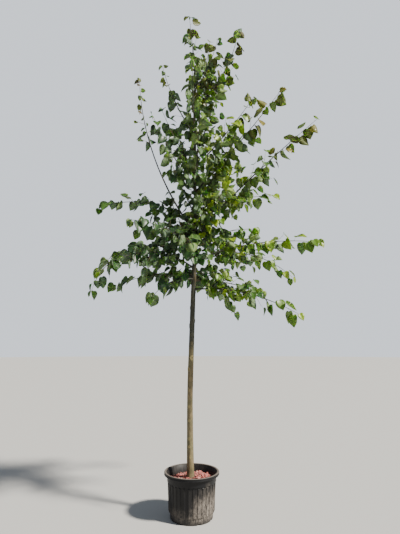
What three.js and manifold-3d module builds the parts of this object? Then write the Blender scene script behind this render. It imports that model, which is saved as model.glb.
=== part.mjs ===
// A young linden tree in a black nursery pot: a straight stem with a light, open crown of
// rising and arching boughs. Millimetres, +Z up. The origin is the middle of the pot's flat
// underside, -Y is the side that faces the viewer and +X is the viewer's right.
import * as THREE from "three";
import { mergeVertices } from "three/addons/utils/BufferGeometryUtils.js";
import Module from "manifold-3d";

const wasm = await Module();
wasm.setup();

// Pot: a rolled rim, a plain shoulder band, a ribbed wall that tapers to a plain foot.
const RIM_RADIUS = 250;
const RIM_TOP = 383;
const RIM_HEIGHT = 27;
const RIM_WIDTH = 22;
const BAND_RADIUS = 224;
const BAND_FOOT = 302;
const WALL_TOP_RADIUS = 213;
const WALL_FOOT_RADIUS = 199;
const WALL_FOOT = 52;
const FOOT_RADIUS = 190;
const WALL = 5;
const RIB_COUNT = 32;
const RIB_DEPTH = 5;
const DRAIN_COUNT = 8;
const DRAIN_WIDTH = 34;
const DRAIN_HEIGHT = 14;
const DRAIN_TURN = 21; // degrees from the front to the first drain slot

// Potting soil and the red chips on top of it.
const SOIL_TOP = 290;
const CHIPS_TOP = 305;
const CHIPS_LUMP = 5;
const CHIPS_COLUMNS = 20;
const HEAP = new THREE.Vector2(45, 20); // where the chips are heaped, beside the trunk
const HEAP_RISE = 46;
const HEAP_SPREAD = 85;
const CLEAR = 0.3; // between pieces that touch

// Trunk: its middle line and radius at stations from the soil to where the leader's spray takes over.
const TRUNK = [
  { height: SOIL_TOP + CLEAR, x: -11, y: 0, radius: 39 },
  { height: 372, x: -12, y: 0, radius: 33 },
  { height: 1000, x: -19, y: 4, radius: 26.5 },
  { height: 1500, x: -7, y: 2, radius: 26 },
  { height: 2000, x: 8, y: -4, radius: 23.5 },
  { height: 2500, x: 24, y: -8, radius: 19 },
  { height: 3000, x: 26, y: -2, radius: 15.5 },
  { height: 3500, x: 22, y: 6, radius: 12.5 },
  { height: 4000, x: 20, y: 8, radius: 9.5 },
  { height: 4440, x: 18, y: 4, radius: 7 },
];
const TRUNK_SIDES = 10;

// Boughs. foot is the height on the trunk where one starts, heading its compass turn (0 is +X,
// 90 is away from the viewer), launch the angle that it leaves at above the horizontal, bend how
// far that angle has changed at its tip, reach its length along the curve, and twig the length
// of its longest side twigs. bare is the leafless share of a bough that has a limb of its own.
const BOUGHS = [
  { name: "right_long", foot: 2600, heading: -12, launch: 46, bend: -8, reach: 1690, twig: 380, bare: 0.2 },
  { name: "right_high", foot: 3330, heading: 15, launch: 50, bend: 8, reach: 1150, twig: 300, bare: 0.16 },
  { name: "right_fork", foot: 3060, heading: -25, launch: 40, bend: 8, reach: 1270, twig: 340, bare: 0.16 },
  { name: "right_level", foot: 2330, heading: -8, launch: 22, bend: -30, reach: 1230, twig: 340, bare: 0.18 },
  { name: "right_arch", foot: 2290, heading: 28, launch: 32, bend: -66, reach: 1320, twig: 360, bare: 0.18 },
  { name: "right_low", foot: 2040, heading: -30, launch: 1, bend: -32, reach: 1080, twig: 340, bare: 0.14 },
  { name: "right_crown", foot: 4020, heading: -5, launch: 44, bend: 36, reach: 1040, twig: 280, bare: 0.14 },
  { name: "left_tall", foot: 2610, heading: 191, launch: 53, bend: 34, reach: 1800, twig: 200, bare: 0.58 },
  { name: "left_level", foot: 2690, heading: 173, launch: 44, bend: -60, reach: 1090, twig: 280, bare: 0.18 },
  { name: "left_arch", foot: 2340, heading: 188, launch: 38, bend: -112, reach: 1220, twig: 340, bare: 0.18 },
  { name: "left_low", foot: 2250, heading: 210, launch: 32, bend: -78, reach: 1030, twig: 340, bare: 0.16 },
  { name: "front_low", foot: 2270, heading: 266, launch: 24, bend: -38, reach: 840, twig: 320, bare: 0.16 },
  { name: "front_high", foot: 2980, heading: 275, launch: 48, bend: 6, reach: 920, twig: 320, bare: 0.16 },
  { name: "back_mid", foot: 2520, heading: 118, launch: 35, bend: -25, reach: 980, twig: 340, bare: 0.16 },
  { name: "back_high", foot: 2960, heading: 62, launch: 48, bend: 4, reach: 1000, twig: 340, bare: 0.16 },
  { name: "right_mid", foot: 2860, heading: 20, launch: 26, bend: -18, reach: 940, twig: 300 },
  { name: "right_under", foot: 2130, heading: 6, launch: 3, bend: -26, reach: 700, twig: 320 },
  { name: "left_front", foot: 2440, heading: 226, launch: 30, bend: -40, reach: 800, twig: 320 },
  { name: "left_under", foot: 2170, heading: 168, launch: 14, bend: -38, reach: 840, twig: 280 },
  { name: "left_slim", foot: 3700, heading: 172, launch: 58, bend: 18, reach: 950, twig: 120 },
  { name: "left_twin", foot: 3300, heading: 192, launch: 54, bend: 14, reach: 740, twig: 220 },
  { name: "left_back", foot: 2560, heading: 148, launch: 26, bend: -24, reach: 800, twig: 280 },
  { name: "left_droop", foot: 2140, heading: 230, launch: 2, bend: -50, reach: 640, twig: 260 },
  { name: "left_inner", foot: 3080, heading: 200, launch: 52, bend: 12, reach: 860, twig: 320 },
  { name: "front_mid", foot: 2460, heading: 298, launch: 42, bend: -14, reach: 860, twig: 320 },
  { name: "back_low", foot: 2130, heading: 78, launch: 22, bend: -45, reach: 900, twig: 320 },
  { name: "back_right", foot: 2500, heading: 34, launch: 32, bend: -24, reach: 860, twig: 340 },
  { name: "back_tall", foot: 3230, heading: 125, launch: 55, bend: 14, reach: 860, twig: 300 },
  { name: "inner_right", foot: 2880, heading: 325, launch: 50, bend: 4, reach: 760, twig: 300 },
  { name: "inner_left", foot: 2800, heading: 232, launch: 46, bend: 8, reach: 640, twig: 280 },
  { name: "core_front", foot: 2300, heading: 290, launch: 62, bend: 10, reach: 700, twig: 260 },
  { name: "core_back", foot: 2420, heading: 100, launch: 62, bend: 10, reach: 700, twig: 260 },
  { name: "core_right", foot: 2640, heading: 58, launch: 66, bend: 10, reach: 640, twig: 260 },
  { name: "core_left", foot: 2440, heading: 184, launch: 60, bend: 10, reach: 640, twig: 260 },
  { name: "column_right", foot: 3460, heading: 328, launch: 62, bend: 14, reach: 880, twig: 280 },
  { name: "column_back", foot: 3560, heading: 84, launch: 62, bend: 14, reach: 860, twig: 280 },
  { name: "column_left", foot: 3600, heading: 264, launch: 64, bend: 14, reach: 840, twig: 280 },
  { name: "column_high", foot: 3960, heading: 310, launch: 64, bend: 14, reach: 760, twig: 280 },
  { name: "crown_back", foot: 4060, heading: 50, launch: 62, bend: 14, reach: 740, twig: 280 },
  { name: "crown_right", foot: 4240, heading: 12, launch: 60, bend: 18, reach: 720, twig: 270 },
  { name: "leader", foot: 4440, heading: 172, launch: 86, bend: -2, reach: 735, twig: 200 },
];
const BOUGH_RADIUS = 4.5;
const BOUGH_RADIUS_PER_REACH = 1 / 280;
const BOUGH_TIP_RADIUS = 2.4;
const BOUGH_SIDES = 5;
const LIMB_STEPS = 4;
const STEM_SIDES = 3;

const LINE_STEPS = 24;
const STEM_STEPS = 6;

// How a spray grows: its bough has nodes every so often, each with a leaf, and with a side twig
// until the bough thins out. A twig has a leaf at each of its own nodes.
const NODE = 88;
const NODE_WIDEN = 0.3; // how much further apart nodes lie at a bough's tip
const FIRST_NODE = 90; // from the trunk's middle
const PAST_LIMB = 30; // from the end of a limb to the first node
const SPIRAL = 68; // degrees from node to node on a steep bough
const STEEP = 0.3; // of a step that is level, below which a bough counts as steep
const TWIG_NODE = 100;
const TWIG_LEAST = 150;
const TWIG_SIDES = 3;
const TWIG_FOOT_RADIUS = 3.6;
const TWIG_TIP_RADIUS = 2.4;
const TWIG_OPEN = 52; // degrees between a twig and its bough
const TWIG_ROLL = 75; // degrees that a twig may turn round its bough
const TWIG_WANE = 1.2; // how fast twigs shorten along a bough
const TWIG_SHARE = 0.8; // of the bough's length, where its last twigs stand
const TWIG_STRAY = 0.1;
const SAG_STEEP = 0.04; // of each step of a twig on a steep bough, and more on a level one
const SAG_LEVEL = 0.14;
const LEAF = 146;
const LEAF_WIDTH = 0.86; // of its length
const LEAF_WAIST = 0.38; // of its length, from its base to its widest place
const LEAF_THICK = 3;
const LEAF_HANG = [0.5, 1.8]; // how steeply the blade hangs, least and most
const LEAF_STRAY = 0.25;
const LEAF_TILT = 0.7;
const LEAF_ROLL = 50; // degrees that a leaf may turn round its twig
const LEAF_LESS = 0.25; // how much smaller leaves get along a twig
const TIP_LEAF = 0.6; // size of the leaf at a bough's tip, and how much smaller the ones before it get
const TIP_LESS = 0.45;
const STALK = 34;
const LEAF_TRIES = 5;
const LEAF_TRY_LESS = 0.12;
const LEAF_APART = 0.42; // of a leaf's length, between two leaves' middles
const SPACE_STEPS = 48;
const SPACE_SHARED = 70; // how far a spray's space may reach past the middle to its neighbour
const APART = 1; // between two sprays, and from a spray to a limb
const SEED = 100;

const UP = new THREE.Vector3(0, 0, 1);
const vector = (x, y, z) => new THREE.Vector3(x, y, z);
const radians = THREE.MathUtils.degToRad;

// The solid inside a closed geometry, and the geometry round a solid.
function solidOf(geometry) {
  const bare = new THREE.BufferGeometry().setAttribute("position", geometry.getAttribute("position"));
  if (geometry.index) bare.setIndex(geometry.index);
  const merged = mergeVertices(bare, 1e-3);
  return new wasm.Manifold(
    new wasm.Mesh({
      numProp: 3,
      vertProperties: new Float32Array(merged.attributes.position.array),
      triVerts: new Uint32Array(merged.index.array),
    }),
  );
}

function geometryOf(solid) {
  const mesh = solid.getMesh();
  return new THREE.BufferGeometry()
    .setAttribute("position", new THREE.BufferAttribute(mesh.vertProperties, 3))
    .setIndex(new THREE.BufferAttribute(mesh.triVerts, 1));
}

// Numbers between 0 and 1 that are the same on every run.
class Draw {
  constructor(seed) {
    this.state = (seed * 7919 + 104729) % 2147483647;
    for (let i = 0; i < 4; i++) this.next();
  }
  next() {
    this.state = (this.state * 16807) % 2147483647;
    return this.state / 2147483647;
  }
  between(low, high) {
    return low + (high - low) * this.next();
  }
  vector(size) {
    return vector(this.between(-size, size), this.between(-size, size), this.between(-size, size));
  }
}

// The trunk's middle and radius at a height, on a smooth line through its stations.
function trunkAt(height) {
  const last = TRUNK.length - 1;
  const z = Math.min(Math.max(height, TRUNK[0].height), TRUNK[last].height);
  let i = 0;
  while (i < last - 1 && TRUNK[i + 1].height <= z) i++;
  const [from, to] = [TRUNK[i], TRUNK[i + 1]];
  const span = to.height - from.height;
  const w = (z - from.height) / span;
  const slope = (k, key) => {
    const [low, high] = [TRUNK[Math.max(k - 1, 0)], TRUNK[Math.min(k + 1, last)]];
    return ((high[key] - low[key]) / (high.height - low.height)) * span;
  };
  const through = (key) =>
    (2 * w ** 3 - 3 * w ** 2 + 1) * from[key] +
    (w ** 3 - 2 * w ** 2 + w) * slope(i, key) +
    (3 * w ** 2 - 2 * w ** 3) * to[key] +
    (w ** 3 - w ** 2) * slope(i + 1, key);
  return {
    middle: vector(through("x"), through("y"), z),
    radius: from.radius + (to.radius - from.radius) * w,
  };
}

function directionOf(heading, pitch) {
  const [h, p] = [radians(heading), radians(pitch)];
  return vector(Math.cos(h) * Math.cos(p), Math.sin(h) * Math.cos(p), Math.sin(p));
}

// The curve of a bough from the trunk's middle to its tip, in even steps.
function lineOf(bough, steps = LINE_STEPS) {
  const points = [trunkAt(bough.foot).middle];
  for (let k = 0; k < steps; k++) {
    const along = (k + 0.5) / steps;
    const step = directionOf(bough.heading, bough.launch + bough.bend * along);
    points.push(points[k].clone().addScaledVector(step, bough.reach / steps));
  }
  return points;
}

// The place and direction at a length along a line of even steps.
function placeOn(line, reach, length) {
  const step = reach / (line.length - 1);
  const k = Math.min(Math.floor(length / step), line.length - 2);
  return {
    middle: line[k].clone().lerp(line[k + 1], length / step - k),
    along: line[k + 1].clone().sub(line[k]).normalize(),
  };
}

// A tapering limb with flat ends: a cylinder whose rings are laid along a path, each with its own
// middle, direction and radius.
function limb(rings, sides) {
  const steps = rings.length - 1;
  const cylinder = new THREE.CylinderGeometry(1, 1, steps, sides, steps);
  const place = cylinder.getAttribute("position");
  // Each ring starts from the last one's side, laid square to its own direction, so nothing twists.
  let side = Math.abs(rings[0].along.z) > 0.9 ? vector(1, 0, 0) : UP;
  const frames = rings.map(({ middle, along, radius }) => {
    side = side.clone().addScaledVector(along, -side.dot(along)).normalize();
    return { middle, side, other: along.clone().cross(side), radius };
  });
  for (let i = 0; i < place.count; i++) {
    const frame = frames[Math.round(place.getY(i) + steps / 2)];
    const at = frame.middle
      .clone()
      .addScaledVector(frame.side, place.getZ(i) * frame.radius)
      .addScaledVector(frame.other, place.getX(i) * frame.radius);
    place.setXYZ(i, at.x, at.y, at.z);
  }
  return solidOf(cylinder);
}

// The trunk, or with some growth the room that other pieces leave for it.
function trunkSolid(grown = 0) {
  const heights = [];
  for (const [i, station] of TRUNK.entries()) {
    heights.push(station.height);
    if (i > 0 && i < TRUNK.length - 1) heights.push((station.height + TRUNK[i + 1].height) / 2);
  }
  const rings = heights.map((height) => {
    const { middle, radius } = trunkAt(height);
    const along = trunkAt(height + 1).middle.sub(trunkAt(height - 1).middle).normalize();
    return { middle, along, radius: radius + grown };
  });
  rings[0].along = UP;
  rings[0].middle.z -= grown * 4;
  rings.at(-1).middle.z += grown;
  return limb(rings, TRUNK_SIDES);
}

// A closed outline of radius and height, turned round +Z. Its columns can be pushed in or out.
function turned(outline, columns, push = () => 0) {
  const lathe = new THREE.LatheGeometry(outline.map(([r, z]) => new THREE.Vector2(r, z)), columns);
  const place = lathe.getAttribute("position");
  for (let i = 0; i < place.count; i++) {
    const [row, column] = [i % outline.length, Math.floor(i / outline.length) % columns];
    const radius = outline[row][0];
    const scale = radius === 0 ? 1 : (radius + push(row, column)) / radius;
    place.setXYZ(i, place.getZ(i) * scale, place.getX(i) * scale, place.getY(i));
  }
  return lathe;
}

// The pot's inner wall, from the floor to the rim's inner edge.
const POT_INSIDE = [
  [FOOT_RADIUS - WALL - 2, WALL],
  [WALL_TOP_RADIUS - WALL, BAND_FOOT - 4],
  [BAND_RADIUS - WALL, RIM_TOP - RIM_HEIGHT + 6],
  [RIM_RADIUS - RIM_WIDTH, RIM_TOP - 3],
];

function potSolid() {
  const rimFoot = RIM_TOP - RIM_HEIGHT;
  const ribbed = [
    [WALL_FOOT_RADIUS, WALL_FOOT + 2],
    [WALL_TOP_RADIUS, BAND_FOOT - 4],
  ];
  const outline = [
    [0, 0],
    [FOOT_RADIUS, 0],
    [WALL_FOOT_RADIUS - 4, WALL_FOOT - 2],
    ...ribbed,
    [BAND_RADIUS - 3, BAND_FOOT],
    [BAND_RADIUS, rimFoot + 8],
    [RIM_RADIUS - 4, rimFoot],
    [RIM_RADIUS, rimFoot + 8],
    [RIM_RADIUS - 4, RIM_TOP],
    ...POT_INSIDE.toReversed(),
    [0, WALL],
  ];
  const rib = (row, column) => (column % 2 && ribbed.includes(outline[row]) ? RIB_DEPTH : 0);
  let pot = solidOf(turned(outline, RIB_COUNT * 2, rib));
  for (let k = 0; k < DRAIN_COUNT; k++) {
    const turn = radians(-90 + DRAIN_TURN + (360 / DRAIN_COUNT) * k);
    const slot = new THREE.BoxGeometry(4 * WALL + 12, DRAIN_WIDTH, 2 * DRAIN_HEIGHT);
    slot.rotateZ(turn);
    slot.translate(FOOT_RADIUS * Math.cos(turn), FOOT_RADIUS * Math.sin(turn), 0);
    pot = pot.subtract(solidOf(slot));
  }
  return pot;
}

// The inside of the pot at a height, a gap clear of its wall.
function insideRadius(height) {
  const above = Math.max(POT_INSIDE.findIndex(([, z]) => z > height), 1);
  const [[lowRadius, low], [highRadius, high]] = POT_INSIDE.slice(above - 1, above + 1);
  return THREE.MathUtils.mapLinear(height, low, high, lowRadius, highRadius) - CLEAR * 2;
}

function soilSolid() {
  const floor = WALL + CLEAR;
  const side = [floor, WALL_FOOT, SOIL_TOP].map((z) => [insideRadius(z), z]);
  return solidOf(turned([[0, floor], ...side, [0, SOIL_TOP]], RIB_COUNT));
}

// A bed of chips round the trunk's foot, with an uneven top that rises to a heap on one side.
function chipsSolid() {
  const low = SOIL_TOP + CLEAR;
  const edge = insideRadius(low) - CLEAR;
  const top = [0.8, 0.55, 0.3].map((share) => [edge * share, CHIPS_TOP]);
  const outline = [[0, low], [edge, low], [edge, CHIPS_TOP - CHIPS_LUMP], ...top, [0, CHIPS_TOP]];
  const bed = turned(outline, CHIPS_COLUMNS);
  const draw = new Draw(SEED);
  const lumps = [...Array(CHIPS_COLUMNS)].map(() => top.map(() => draw.between(-CHIPS_LUMP, CHIPS_LUMP)));
  const place = bed.getAttribute("position");
  for (let i = 0; i < place.count; i++) {
    const [row, column] = [i % outline.length, Math.floor(i / outline.length) % CHIPS_COLUMNS];
    if (outline[row][1] === low) continue;
    const away = HEAP.distanceTo(new THREE.Vector2(place.getX(i), place.getY(i)));
    const heap = HEAP_RISE * Math.exp(-((away / HEAP_SPREAD) ** 2));
    const lump = lumps[column][top.indexOf(outline[row])] ?? 0;
    place.setZ(i, place.getZ(i) + heap + lump);
  }
  return solidOf(bed).subtract(trunkSolid(CLEAR));
}

// A bough's radius at a share of its length.
function boughRadius(bough, out) {
  const foot = BOUGH_RADIUS + BOUGH_RADIUS_PER_REACH * bough.reach;
  return THREE.MathUtils.lerp(foot, BOUGH_TIP_RADIUS, out);
}

// The rings of a bough between two lengths along it, evenly spread.
function ringsOf(bough, from, to, steps) {
  const line = lineOf(bough);
  return [...Array(steps + 1)].map((_, k) => {
    const length = from + ((to - from) * k) / steps;
    return { ...placeOn(line, bough.reach, length), radius: boughRadius(bough, length / bough.reach) };
  });
}

function limbSolid(bough, trunkRoom) {
  const rings = ringsOf(bough, 0, bough.bare * bough.reach, LIMB_STEPS);
  return limb(rings, BOUGH_SIDES).subtract(trunkRoom);
}

// The stem inside a spray. It starts just past its limb's end, or at the trunk's bark.
function stemSolid(bough, trunkRoom) {
  const start = bough.bare ? bough.bare * bough.reach + CLEAR : 0;
  return limb(ringsOf(bough, start, bough.reach, STEM_STEPS), STEM_SIDES).subtract(trunkRoom);
}

// The crown while it grows: what each spray holds, and what stands in the others' way.
class Crown {
  constructor(boughs) {
    const trunkRoom = trunkSolid(CLEAR);
    this.lines = boughs.map((bough) => {
      const bareSteps = Math.ceil((bough.bare ?? 0) * SPACE_STEPS);
      return lineOf(bough, SPACE_STEPS).slice(bareSteps);
    });
    this.limbs = boughs.map((bough) => (bough.bare ? largest(limbSolid(bough, trunkRoom)) : null));
    this.sprays = boughs.map((bough) => [largest(stemSolid(bough, trunkRoom))]);
    this.solids = [];
    this.middles = [];
    this.keep(trunkRoom, null);
    for (const solid of this.limbs) if (solid) this.keep(solid, null);
    for (const [index, [stem]] of this.sprays.entries()) this.keep(stem, index);
  }

  keep(solid, index) {
    const { min, max } = solid.boundingBox();
    const box = new THREE.Box3(vector(...min), vector(...max)).expandByScalar(APART);
    this.solids.push({ solid, index, box });
  }

  // A spray's space reaches a little past the middle between its own bough and the next.
  inSpace(point, index) {
    const distance = (line) => Math.min(...line.map((other) => other.distanceTo(point)));
    const own = distance(this.lines[index]);
    return this.lines.every((line, k) => k === index || distance(line) > own - SPACE_SHARED);
  }

  // Adds a twig or leaf to a spray, unless it would touch a limb or another spray.
  add(solid, index) {
    const { min, max } = solid.boundingBox();
    const box = new THREE.Box3(vector(...min), vector(...max));
    const near = this.solids.filter((other) => other.index !== index && other.box.intersectsBox(box));
    if (near.some((other) => other.solid.minGap(solid, APART) < APART)) return false;
    this.sprays[index].push(solid);
    this.keep(solid, index);
    return true;
  }
}

// Where a leaf's root, sides and tip lie. It stands out from its twig on a stalk and hangs.
function leafPlaces(root, along, side, size, draw) {
  const stalk = along.clone().multiplyScalar(0.5).addScaledVector(side, 0.9).addScaledVector(UP, 0.25);
  const base = root.clone().addScaledVector(stalk.normalize(), STALK * size);
  const blade = along.clone().multiplyScalar(0.45).addScaledVector(side, 0.65);
  blade.addScaledVector(UP, -draw.between(...LEAF_HANG)).add(draw.vector(LEAF_STRAY)).normalize();
  const face = UP.clone().multiplyScalar(0.4).addScaledVector(side, 0.8).add(draw.vector(LEAF_TILT));
  face.addScaledVector(blade, -face.dot(blade)).normalize();
  const length = LEAF * size * draw.between(0.8, 1.15);
  const waist = base.clone().addScaledVector(blade, LEAF_WAIST * length);
  const half = face.clone().cross(blade).multiplyScalar((LEAF_WIDTH / 2) * length);
  return {
    root,
    upper: waist.clone().addScaledVector(face, LEAF_THICK / 2),
    under: waist.clone().addScaledVector(face, -LEAF_THICK / 2),
    left: waist.clone().add(half),
    right: waist.clone().sub(half),
    tip: base.clone().addScaledVector(blade, length),
    waist,
    length,
  };
}

// A leaf is an octahedron: its root inside the twig, its tip, and four corners at its waist.
function leafSolid({ root, upper, under, left, right, tip }) {
  const leaf = new THREE.OctahedronGeometry(1);
  const place = leaf.getAttribute("position");
  for (let i = 0; i < place.count; i++) {
    const [x, y, z] = [place.getX(i), place.getY(i), place.getZ(i)].map(Math.round);
    const corner = x ? (x > 0 ? tip : root) : y ? (y > 0 ? left : right) : z > 0 ? upper : under;
    place.setXYZ(i, corner.x, corner.y, corner.z);
  }
  return solidOf(leaf);
}

// Grows one spray: side twigs from the nodes of its stem, and a leaf at each node of both.
function growSpray(crown, bough, index) {
  const draw = new Draw(SEED + index);
  const line = lineOf(bough);
  const bare = bough.bare ?? 0;

  // A leaf that doesn't fit is tried again in other ways, each a little smaller.
  const addLeaf = (root, along, side, size) => {
    for (let k = 0; k < LEAF_TRIES; k++) {
      const leaf = leafPlaces(root, along, side, size * (1 - LEAF_TRY_LESS * k), draw);
      const close = crown.middles.some((middle) => middle.distanceTo(leaf.waist) < LEAF_APART * leaf.length);
      if (close || !crown.inSpace(leaf.tip, index) || !crown.add(leafSolid(leaf), index)) continue;
      crown.middles.push(leaf.waist);
      return;
    }
  };

  // A twig is shortened node by node where it has no room.
  const addTwig = (start, direction, reach, sag) => {
    const count = Math.max(1, Math.floor(reach / TWIG_NODE));
    const rings = [{ middle: start, along: direction }];
    for (let k = 0; k < count; k++) {
      const along = rings[k].along.clone().addScaledVector(UP, -sag).add(draw.vector(TWIG_STRAY)).normalize();
      rings.push({ middle: rings[k].middle.clone().addScaledVector(along, reach / count), along });
    }
    for (const [k, ring] of rings.entries()) {
      ring.radius = THREE.MathUtils.lerp(TWIG_FOOT_RADIUS, TWIG_TIP_RADIUS, k / count);
    }
    while (!crown.inSpace(rings.at(-1).middle, index) || !crown.add(limb(rings, TWIG_SIDES), index)) {
      rings.pop();
      if (rings.length === 1) return;
    }
    for (const [k, { middle, along }] of rings.slice(1).entries()) {
      const flat = along.clone().cross(UP).normalize().multiplyScalar(k % 2 ? -1 : 1);
      flat.applyAxisAngle(along, radians(draw.between(-LEAF_ROLL, LEAF_ROLL)));
      const last = k === rings.length - 2;
      const side = last ? along.clone().addScaledVector(flat, 0.3).normalize() : flat;
      addLeaf(middle, along, side, 1 - (LEAF_LESS * (k + 1)) / count);
    }
  };

  const end = placeOn(line, bough.reach, bough.reach);
  addLeaf(end.middle, end.along, end.along, TIP_LEAF);
  let node = 0;
  let length = Math.max(bare * bough.reach + PAST_LIMB, FIRST_NODE);
  while (length < bough.reach) {
    const out = length / bough.reach;
    const { middle, along } = placeOn(line, bough.reach, length);
    const level = 1 - Math.abs(along.z);
    const flat = along.clone().cross(level < 0.03 ? vector(1, 0, 0) : UP).normalize();
    const roll = draw.between(-TWIG_ROLL, TWIG_ROLL) + (level < STEEP ? node * SPIRAL : 0);
    const side = flat.multiplyScalar(node % 2 ? -1 : 1).applyAxisAngle(along, radians(roll));
    const share = (out - bare) / (TWIG_SHARE - bare);
    const reach = share < 1 ? bough.twig * (1 - share) ** TWIG_WANE * draw.between(0.7, 1.1) : 0;
    if (reach > TWIG_LEAST) {
      const open = radians(TWIG_OPEN);
      const direction = along.clone().multiplyScalar(Math.cos(open)).addScaledVector(side, Math.sin(open));
      addTwig(middle, direction, reach, SAG_STEEP + SAG_LEVEL * level);
    }
    const tip = Math.max(out - TWIG_SHARE, 0) / (1 - TWIG_SHARE);
    addLeaf(middle, along, side.clone().negate(), 1 - TIP_LESS * tip);
    length += NODE * (1 + NODE_WIDEN * out);
    node += 1;
  }
}

// The largest of the bodies that a union or a cut leaves.
function largest(solid) {
  const bodies = solid.decompose().sort((a, b) => b.volume() - a.volume());
  return bodies[0];
}

const FINISH = {
  pot: { color: 0x26282b, roughness: 0.62, metalness: 0 },
  soil: { color: 0x3b2c22, roughness: 0.95, metalness: 0 },
  chips: { color: 0xa2503f, roughness: 0.9, metalness: 0 },
  bark: { color: 0x6e6446, roughness: 0.85, metalness: 0 },
  twigBark: { color: 0x5d5138, roughness: 0.8, metalness: 0 },
  leaves: { color: 0x4d7a2a, roughness: 0.5, metalness: 0 },
};

const tree = new THREE.Group();

function addMesh(name, solid, finish) {
  const mesh = new THREE.Mesh(geometryOf(solid), new THREE.MeshStandardMaterial(finish));
  mesh.name = name;
  tree.add(mesh);
}

addMesh("pot", potSolid(), FINISH.pot);
addMesh("soil", soilSolid(), FINISH.soil);
addMesh("chips", largest(chipsSolid()), FINISH.chips);
addMesh("trunk", trunkSolid(), FINISH.bark);
const crown = new Crown(BOUGHS);
for (const [index, bough] of BOUGHS.entries()) growSpray(crown, bough, index);
for (const [index, { name }] of BOUGHS.entries()) {
  if (crown.limbs[index]) addMesh(`bough_${name}`, crown.limbs[index], FINISH.twigBark);
  addMesh(`leaves_${name}`, largest(wasm.Manifold.union(crown.sprays[index])), FINISH.leaves);
}

export default tree;
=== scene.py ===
"""A young linden tree in a black nursery pot: bark, boughs, twigs, leaves, pot, soil and red chips.

Metres, +Z up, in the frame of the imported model. -Y is the side that faces the viewer."""
import math
import random
from collections import namedtuple

import bmesh
import bpy
import numpy as np
from bpy.props import FloatProperty, FloatVectorProperty, IntProperty, PointerProperty
from mathutils import Matrix, Quaternion, Vector, noise


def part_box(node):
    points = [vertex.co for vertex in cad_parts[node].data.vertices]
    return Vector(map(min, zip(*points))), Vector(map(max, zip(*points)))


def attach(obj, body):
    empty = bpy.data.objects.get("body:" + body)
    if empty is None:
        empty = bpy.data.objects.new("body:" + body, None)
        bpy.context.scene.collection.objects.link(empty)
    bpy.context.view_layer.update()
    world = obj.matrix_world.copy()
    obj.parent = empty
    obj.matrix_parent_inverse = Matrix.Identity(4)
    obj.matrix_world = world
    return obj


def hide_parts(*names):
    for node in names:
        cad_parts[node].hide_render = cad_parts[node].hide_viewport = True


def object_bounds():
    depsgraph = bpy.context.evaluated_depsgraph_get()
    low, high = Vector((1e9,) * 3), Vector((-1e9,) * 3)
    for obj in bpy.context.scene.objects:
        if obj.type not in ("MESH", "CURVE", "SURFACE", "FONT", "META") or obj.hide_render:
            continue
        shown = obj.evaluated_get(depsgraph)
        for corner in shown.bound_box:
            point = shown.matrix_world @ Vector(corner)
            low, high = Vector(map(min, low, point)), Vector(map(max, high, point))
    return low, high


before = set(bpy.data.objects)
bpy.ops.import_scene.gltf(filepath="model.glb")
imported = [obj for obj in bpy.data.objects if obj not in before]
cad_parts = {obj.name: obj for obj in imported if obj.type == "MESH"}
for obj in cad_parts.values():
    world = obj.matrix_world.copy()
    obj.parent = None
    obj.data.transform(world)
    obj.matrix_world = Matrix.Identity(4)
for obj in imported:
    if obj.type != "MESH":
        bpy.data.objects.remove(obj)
CAD_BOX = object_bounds()

bl_info = {
    "name": "Potted Linden Tree",
    "version": (1, 0, 0),
    "blender": (4, 5, 0),
    "location": "View3D > Sidebar > Linden",
    "description": "Builds a young linden tree in a ribbed nursery pot",
    "category": "Object",
}

UP = Vector((0, 0, 1))
SEED = 100
MM = 0.001
POT_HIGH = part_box("pot")[1]
CHIPS_LOW, CHIPS_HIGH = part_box("chips")
TRUNK_LOW, TRUNK_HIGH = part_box("trunk")
CROWN_LOW, CROWN_HIGH = CAD_BOX

# Trunk: height, x, y and radius at stations from the soil to where the leader takes over.
Station = namedtuple("Station", "height x y radius")
TRUNK = [Station(*row) for row in [
    (TRUNK_LOW.z, -0.011, 0.0, 0.039),
    (0.372, -0.012, 0.0, 0.033),
    (1.0, -0.019, 0.004, 0.0265),
    (1.5, -0.007, 0.002, 0.026),
    (2.0, 0.008, -0.004, 0.0235),
    (2.5, 0.024, -0.008, 0.019),
    (3.0, 0.026, -0.002, 0.0155),
    (3.5, 0.022, 0.006, 0.0125),
    (4.0, 0.020, 0.008, 0.0095),
    (TRUNK_HIGH.z, 0.018, 0.004, 0.007),
]]
TRUNK_SIDES = 72
TRUNK_RING = 0.008
TRUNK_FADE = 0.026  # radius below which the bark's relief gets fainter
TRUNK_LUMPS = 0.0011
# How close its broad lumps are, then the fine ones and the cracks, each round the trunk and up it.
TRUNK_BROAD = 2.2
TRUNK_FINE = (3, 22)
TRUNK_FINE_SHARE = 0.5
TRUNK_CRACKS = (3.4, 15)

# Healed knots and small bud scars on the trunk: height, compass heading, size, and how far the lip
# stands out.
Knot = namedtuple("Knot", "height heading size rise")
KNOTS = [Knot(*row) for row in [
    (1.28, 215, 0.016, 0.0035),
    (1.383, 292, 0.021, 0.0030),
    (1.60, 268, 0.015, 0.0016),
    (1.685, 200, 0.017, 0.0045),
    (1.733, 320, 0.018, 0.0045),
    (1.86, 150, 0.016, 0.0035),
    (1.52, 60, 0.015, 0.0030),
    (1.12, 110, 0.014, 0.0025),
    (0.84, 20, 0.013, 0.0020),
    (0.66, 250, 0.012, 0.0016),
    (1.085, 262, 0.010, 0.0010),
    (0.94, 256, 0.011, 0.0010),
    (0.815, 259, 0.011, 0.0010),
    (0.592, 255, 0.011, 0.0010),
    (0.505, 272, 0.009, 0.0008),
]]

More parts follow.
